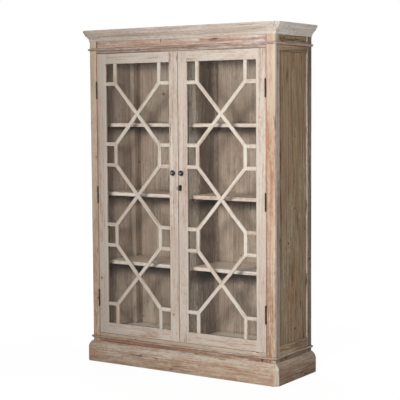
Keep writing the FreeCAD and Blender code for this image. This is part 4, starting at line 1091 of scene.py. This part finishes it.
class Profile(Enum):
    """The outlines of the mouldings, as (out from the case, up) from the foot of the back."""

    CORNICE = ((0.0, 0.0), (0.003, 0.0),
               *arc((0.003, 0.0), (0.0168, 0.0284), 0.036, -1), (0.0168, 0.0284),
               *arc((0.0168, 0.0284), (0.036, 0.056), 0.057, 1), (0.036, 0.056),
               (0.040, 0.056), (0.040, 0.070), (0.0, 0.070))
    BEAD = ((0.0, 0.0), (0.0065, 0.0),
            *arc((0.0065, 0.0), (0.0065, 0.014), 0.0072, 1), (0.0065, 0.014), (0.0, 0.014))
    PLINTH = ((0.0, 0.0), (0.032, 0.0), (0.032, 0.090),
              *arc((0.032, 0.090), (0.004, 0.128), 0.060, 1), (0.004, 0.128), (0.0, 0.128))


@dataclass
class Moulding:
    """A moulding round the front and both sides, in five mitred lengths.

    Attributes:
        name: Name of the piece.
        profile: Its outline.
        bottom: Height of its foot.
        finish: Its finish.
        nodes: The drawn nodes that it stands for.
        half_width: Half the width of the case.
        face: Y of the front of the case.
        back: Y of its back.
        cant: Leg of the canted corners.
        corner_lime: Lime added on the canted corners.
        side_lime: Lime added on the lengths along the sides.
        side_soil: Painted shade on them.
    """

    name: str
    profile: Profile
    bottom: float
    finish: Wood
    nodes: tuple[str, ...]
    half_width: float = 0.673
    face: float = -0.2025
    back: float = 0.2425
    cant: float = 0.006
    corner_lime: float = 0.0
    side_lime: float = 0.0
    side_soil: float = 0.0

    def corners(self) -> list[Vector]:
        """The plan of the case, from the back of the left side round to the right."""
        wide, cant = self.half_width, self.cant
        return [Vector((-wide, self.back)), Vector((-wide, self.face + cant)),
                Vector((-wide + cant, self.face)), Vector((wide - cant, self.face)),
                Vector((wide, self.face + cant)), Vector((wide, self.back))]

    def ring(self, timber: Timber, plan: Sequence[Vector], index: int) -> list[bmesh.types.BMVert]:
        """The outline of the moulding at one corner of the plan.

        Args:
            timber: The piece that it belongs to.
            plan: Corners of the plan.
            index: Which corner.

        Returns:
            Its vertices.
        """
        runs = [plan[place + 1] - plan[place] for place in (index - 1, index)
                if 0 <= place < len(plan) - 1]
        outwards = [Vector((run.y, -run.x)).normalized() for run in runs]
        mid = sum(outwards, Vector((0.0, 0.0))).normalized()
        reach = 1 / mid.dot(outwards[0])
        spots = [plan[index] + mid * (out * reach) for out, _ in self.profile.value]
        return [timber.mesh.verts.new((spot.x, spot.y, self.bottom + up))
                for spot, (_, up) in zip(spots, self.profile.value)]

    def build(self) -> bpy.types.Object:
        """The moulding.

        Returns:
            The object.
        """
        along_side, corner = (self.side_lime, self.side_soil), (self.corner_lime, 0.0)
        timber = Timber(self.name, self.finish, "case", "moulding_pine", self.nodes, ease=0.0007,
                        vary=0.1, soiled=True,
                        lots=(along_side, corner, (0.0, 0.0), corner, along_side))
        plan = self.corners()
        for index in range(len(plan) - 1):
            timber.close(self.ring(timber, plan, index), self.ring(timber, plan, index + 1))
        return timber.finished()


# Doors

@dataclass
class Lattice:
    """The bars in front of the glass of one door.

    Attributes:
        side: Side of the door.
        columns: Distances of the two columns of uprights from the middle of the case.
        opening: Edges of the opening, likewise.
        low: Bottom of the opening.
        high: Top of the opening.
        crosses: Heights of the middles of the crosses.
        half_height: From the middle of a cross to its cross bars.
        width: Width of a bar.
        front: Y of the front of the bars.
        thick: Their thickness.
    """

    side: Side
    columns: Spot = (0.1395, 0.474)
    opening: Spot = (0.0655, 0.548)
    low: float = 0.253
    high: float = 1.889
    crosses: tuple[float, ...] = (0.565, 1.071, 1.577)
    half_height: float = 0.188
    width: float = 0.022
    front: float = -0.201
    thick: float = 0.012

    def outline(self, corners: Sequence[Spot]) -> list[Spot]:
        """An outline set on the side of the door.

        Args:
            corners: Corners as (distance from the middle of the case, height).

        Returns:
            The same as (X, Z).
        """
        return [(self.side.value * out, up) for out, up in corners]

    def box(self, timber: Timber, out: Spot, up: Spot) -> None:
        """A straight bar between two distances and two heights."""
        corners = ((out[0], up[0]), (out[1], up[0]), (out[1], up[1]), (out[0], up[1]))
        timber.bar(self.outline(corners), self.front, self.front + self.thick)

    def tip(self, start: Vector, ahead: Vector, span: Vector) -> list[Vector]:
        """The end of a diagonal bar where it meets the end of an upright.

        Args:
            start: Where the middle lines of the column and the cross bars meet.
            ahead: Direction from there to the middle of the cross.
            span: Half the width of the bar, sideways.

        Returns:
            Three points, from the bar's edge on the side away from span to the other.
        """
        half = self.width / 2
        inward = Vector((math.copysign(half, ahead.x), math.copysign(half, ahead.y)))
        ends = []
        for edge in (start - span, start + span):
            to_side = (start.x + inward.x - edge.x) / ahead.x
            to_level = (start.y + inward.y - edge.y) / ahead.y
            ends.append(edge + ahead * min(to_side, to_level))
        return [ends[0], start + inward, ends[1]]

    def cross(self, timber: Timber, height: float) -> None:
        """One cross: a whole bar and one that is cut round it.

        Args:
            timber: The piece that it belongs to.
            height: Height of its middle.
        """
        centre = Vector((sum(self.columns) / 2, height))
        rising = Vector(((self.columns[1] - self.columns[0]) / 2, self.half_height))
        falling = Vector((rising.x, -rising.y))
        for whole, run in ((True, rising), (False, falling)):
            ahead = run.normalized()
            span = Vector((-ahead.y, ahead.x)) * (self.width / 2)
            first = self.tip(centre - run, ahead, span)
            last = self.tip(centre + run, -ahead, -span)
            if whole:
                self.diagonal(timber, first + last)
                continue
            other = rising.normalized()
            near = self.met(centre, ahead, other, span, -1)
            far = self.met(centre, ahead, other, span, 1)
            self.diagonal(timber, first + [near[1], near[0]])
            self.diagonal(timber, far + last)

    def met(self, centre: Vector, ahead: Vector, other: Vector, span: Vector,
            way: int) -> list[Vector]:
        """Where both edges of the cut bar meet an edge of the whole bar.

        Args:
            centre: Middle of the cross.
            ahead: Direction of the cut bar.
            other: Direction of the whole bar.
            span: Half the width of the cut bar, sideways.
            way: 1 for the edge ahead of the middle, -1 for the one behind it.

        Returns:
            The two points, the one on the side away from span first.
        """
        across = Vector((-other.y, other.x))
        line = across * math.copysign(self.width / 2, across.dot(ahead) * way)
        return [edge + ahead * ((centre + line - edge).dot(across) / ahead.dot(across))
                for edge in (centre - span, centre + span)]

    def diagonal(self, timber: Timber, corners: Sequence[Vector]) -> None:
        """A slanted bar from its corners."""
        timber.bar(self.outline([(spot.x, spot.y) for spot in corners]),
                   self.front, self.front + self.thick)

    def build(self) -> bpy.types.Object:
        """The lattice.

        Returns:
            The object.
        """
        timber = Timber(f"{self.side.word}_lattice_bars", Wood.LATTICE, f"{self.side.word}_door",
                        "door_pine", (f"{self.side.word}_lattice",), ease=0.0012, wash=0.52,
                        vary=0.12, soiled=True)
        half = self.width / 2
        reach = self.half_height
        stops = [self.low] + [height + step for height in self.crosses
                              for step in (-reach + half, reach - half)] + [self.high]
        for column in self.columns:
            for bottom, top in zip(stops[::2], stops[1::2]):
                self.box(timber, (column - half, column + half), (bottom, top))
        inner, outer = self.columns
        for height in self.crosses:
            for level in (height - reach, height + reach):
                span = (level - half, level + half)
                self.box(timber, (self.opening[0], inner - half), span)
                self.box(timber, (outer + half, self.opening[1]), span)
            self.cross(timber, height)
        return timber.finished()


@dataclass
class Door:
    """One glazed door with its lattice and its metalwork.

    Attributes:
        side: Side of the door.
        hinge_wash: Fullness of the lime on its hinge stile.
        meeting_wash: Fullness on its meeting stile.
        rail_wash: Fullness on its rails.
        ease: Radius of its eased edges.
    """

    side: Side
    hinge_wash: float = 0.5
    meeting_wash: float = 0.5
    rail_wash: float = 0.5
    ease: float = 0.0011

    def build(self) -> None:
        """The whole door."""
        word, body = self.side.word, f"{self.side.word}_door"
        for node, wash, finish in (("hinge_stile", self.hinge_wash, Wood.DOOR),
                                   ("meeting_stile", self.meeting_wash, Wood.DOOR),
                                   ("door_rails", self.rail_wash, Wood.DOOR),
                                   ("glazing_beads", 0.5, Wood.BEADING)):
            piece = Timber(f"{word}_{node}_wood", finish, body, "door_pine",
                           (f"{word}_{node}",), wash=wash, ease=self.ease, soiled=True)
            piece.carry()
            piece.finished()
        Lattice(self.side).build()
        dress(f"{word}_glass", Hardware.GLASS)
        dress(f"{word}_knob", Hardware.KNOB)
        for node in ("door_leaves", "leaf_screws"):
            dress(f"{word}_{node}", Hardware.HINGE)


def dress(node: str, finish: Hardware) -> None:
    """Gives a drawn node its finish.

    Args:
        node: The node.
        finish: Its finish.
    """
    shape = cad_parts[node].data
    for index in range(len(shape.materials)):
        shape.materials[index] = finish.value.material()
    log.info("%s: %s", node, finish.value.name)


@dataclass
class Metalwork:
    """The hinges on the case, the lock, the key and the sliding bolts.

    Attributes:
        finishes: Each drawn node and the finish that it gets.
    """

    finishes: tuple[tuple[str, Hardware], ...] = (
        ("hinge_frame_leaves", Hardware.HINGE), ("hinge_pins", Hardware.HINGE),
        ("frame_hinge_screws", Hardware.HINGE), ("escutcheon", Hardware.BRONZE),
        ("key", Hardware.BRASS), ("lock_case", Hardware.STEEL), ("lock_bolt", Hardware.STEEL),
        ("lock_keeper", Hardware.STEEL), ("left_bolt_plates", Hardware.STEEL),
        ("left_top_bolt", Hardware.STEEL), ("left_bottom_bolt", Hardware.STEEL))

    def build(self) -> None:
        """All of the metalwork."""
        for node, finish in self.finishes:
            dress(node, finish)


# Studio

WARM = (1.0, 0.985, 0.965)
COOL = (0.96, 0.98, 1.0)
PALE = (1.0, 0.99, 0.97)


@dataclass(frozen=True)
class Lamp:
    """A square soft lamp.

    Attributes:
        name: Its name.
        place: Where it hangs.
        target: What it points at.
        size: Length of its side.
        power: Power, in watts.
        tint: Colour of its light.
    """

    name: str
    place: Triple
    target: Triple
    size: float
    power: float
    tint: Triple

    def hang(self) -> None:
        """Sets the lamp in the scene."""
        light = bpy.data.lights.new(self.name, "AREA")
        light.shape = "SQUARE"
        light.size = self.size
        light.energy = self.power
        light.color = self.tint
        lamp = bpy.data.objects.new(self.name, light)
        lamp.location = self.place
        ahead = Vector(self.target) - Vector(self.place)
        lamp.rotation_euler = ahead.to_track_quat("-Z", "Y").to_euler()
        bpy.context.scene.collection.objects.link(lamp)


@dataclass
class Studio:
    """A white floor and air, soft lamps and the camera.

    Attributes:
        air: Strength of the light from all round.
        lamps: The main lamp in front, and those at the right, above and at the left behind.
        floor_reach: How far the floor goes each way from the middle.
        floor_glow: Strength of the plain white that the camera sees over the floor.
        near_glow: Share of that white close to the bookcase, where the shadow shows.
        shadow: Distances between which the share grows to 1.
        lens: Focal length, in millimetres.
        sensor: Width of the sensor, in millimetres.
        eye: Place of the camera.
        turn: Turn of the view to the left of straight ahead, in radians.
        tilt: Tilt of the view above the horizon.
        roll: Roll of the view.
    """

    air: float = 0.05
    lamps: tuple[Lamp, ...] = (
        Lamp("key_lamp", (1.55, -4.2, 2.0), (0.0, 0.0, 1.1), 0.7, 172.0, WARM),
        Lamp("side_lamp", (2.9, -1.1, 2.0), (0.3, 0.0, 1.0), 0.9, 24.0, COOL),
        Lamp("top_lamp", (0.2, 0.5, 4.6), (0.0, 0.3, 2.1), 1.2, 60.0, PALE),
        Lamp("back_lamp", (-2.8, 2.8, 2.6), (0.0, 0.1, 1.0), 1.2, 90.0, PALE))
    floor_reach: float = 60.0
    floor_glow: float = 1.08
    near_glow: float = 0.88
    shadow: Spot = (1.2, 4.5)
    lens: float = 105.43
    sensor: float = 36.0
    eye: Triple = (4.02332, -6.02421, 1.61906)
    turn: float = 0.5861
    tilt: float = -0.0794
    roll: float = -0.0068

    def floor(self) -> None:
        """A wide pale floor that keeps the shadow of the bookcase."""
        bm = bmesh.new()
        bmesh.ops.create_grid(bm, x_segments=4, y_segments=4, size=self.floor_reach)
        shape = bpy.data.meshes.new("studio_floor")
        bm.to_mesh(shape)
        bm.free()
        recipe = Recipe("white_floor")
        recipe.shade({"Base Color": (0.5, 0.5, 0.5, 1.0), "Roughness": 1.0,
                      "Specular IOR Level": 0.0})
        glow = recipe.add("ShaderNodeEmission")
        glow.inputs["Strength"].default_value = self.floor_glow
        path = recipe.add("ShaderNodeLightPath")
        seen = recipe.maths("MAXIMUM", path.outputs["Is Camera Ray"],
                            path.outputs["Is Transmission Ray"])
        away = recipe.vector("LENGTH", recipe.place())
        recipe.overlay(recipe.times(seen, recipe.fade(away, *self.shadow, self.near_glow, 1.0)),
                       glow)
        shape.materials.append(recipe.material)
        floor = bpy.data.objects.new("studio_floor", shape)
        bpy.context.scene.collection.objects.link(floor)
        log.info("studio_floor")

    def world(self) -> None:
        """Even air, white where it is seen or looked through."""
        world = bpy.data.worlds.new("studio_air")
        bpy.context.scene.world = world
        world.use_nodes = True
        nodes = world.node_tree.nodes
        nodes.clear()
        output, lit, seen, path, either, mixer = (nodes.new(f"ShaderNode{kind}") for kind in (
            "OutputWorld", "Background", "Background", "LightPath", "Math", "MixShader"))
        lit.inputs["Color"].default_value = (*WARM, 1.0)
        lit.inputs["Strength"].default_value = self.air
        seen.inputs["Color"].default_value = (1.0, 1.0, 1.0, 1.0)
        either.operation = "MAXIMUM"
        for source, target in ((path.outputs["Is Camera Ray"], either.inputs[0]),
                               (path.outputs["Is Transmission Ray"], either.inputs[1]),
                               (either.outputs[0], mixer.inputs[0]),
                               (lit.outputs[0], mixer.inputs[1]),
                               (seen.outputs[0], mixer.inputs[2]),
                               (mixer.outputs[0], output.inputs["Surface"])):
            world.node_tree.links.new(source, target)

    def camera(self) -> None:
        """The camera at the place it was worked out to have."""
        ahead = Vector((-math.sin(self.turn) * math.cos(self.tilt),
                        math.cos(self.turn) * math.cos(self.tilt), math.sin(self.tilt)))
        right = Vector((math.cos(self.turn), math.sin(self.turn), 0.0))
        up = right.cross(ahead)
        level = right * math.cos(self.roll) + up * math.sin(self.roll)
        upright = up * math.cos(self.roll) - right * math.sin(self.roll)
        lens = bpy.data.cameras.new("studio_camera")
        lens.lens = self.lens
        lens.sensor_width = self.sensor
        camera = bpy.data.objects.new("studio_camera", lens)
        axes = Matrix((level, upright, -ahead)).transposed().to_4x4()
        camera.matrix_world = Matrix.Translation(self.eye) @ axes
        bpy.context.scene.collection.objects.link(camera)
        bpy.context.scene.camera = camera

    def build(self) -> None:
        """The whole studio."""
        self.floor()
        self.world()
        for lamp in self.lamps:
            lamp.hang()
        self.camera()
        bpy.context.scene.view_settings.view_transform = "Standard"


def main() -> None:
    """Builds the bookcase and its studio."""
    logging.basicConfig(level=logging.INFO, format="%(message)s")
    Carcass().build()
    Moulding("cornice", Profile.CORNICE, 2.030, Wood.CORNICE,
             ("cornice_front", "cornice_corners", "cornice_returns"), side_lime=0.25).build()
    # The plinth's lengths along the sides get more painted shade
    Moulding("plinth", Profile.PLINTH, 0.0, Wood.PLINTH,
             ("plinth_front", "plinth_corners", "plinth_returns"), corner_lime=0.3,
             side_soil=0.45).build()
    Moulding("upper_bead_lengths", Profile.BEAD, 1.974, Wood.BEAD, ("upper_bead",)).build()
    Moulding("base_bead_lengths", Profile.BEAD, 0.149, Wood.BEAD, ("base_bead",)).build()
    Door(Side.LEFT, hinge_wash=0.54, meeting_wash=0.5, rail_wash=0.6).build()
    Door(Side.RIGHT, hinge_wash=0.52, meeting_wash=0.6, rail_wash=0.56).build()
    Metalwork().build()
    Studio().build()


if __name__ == "__main__":
    main()
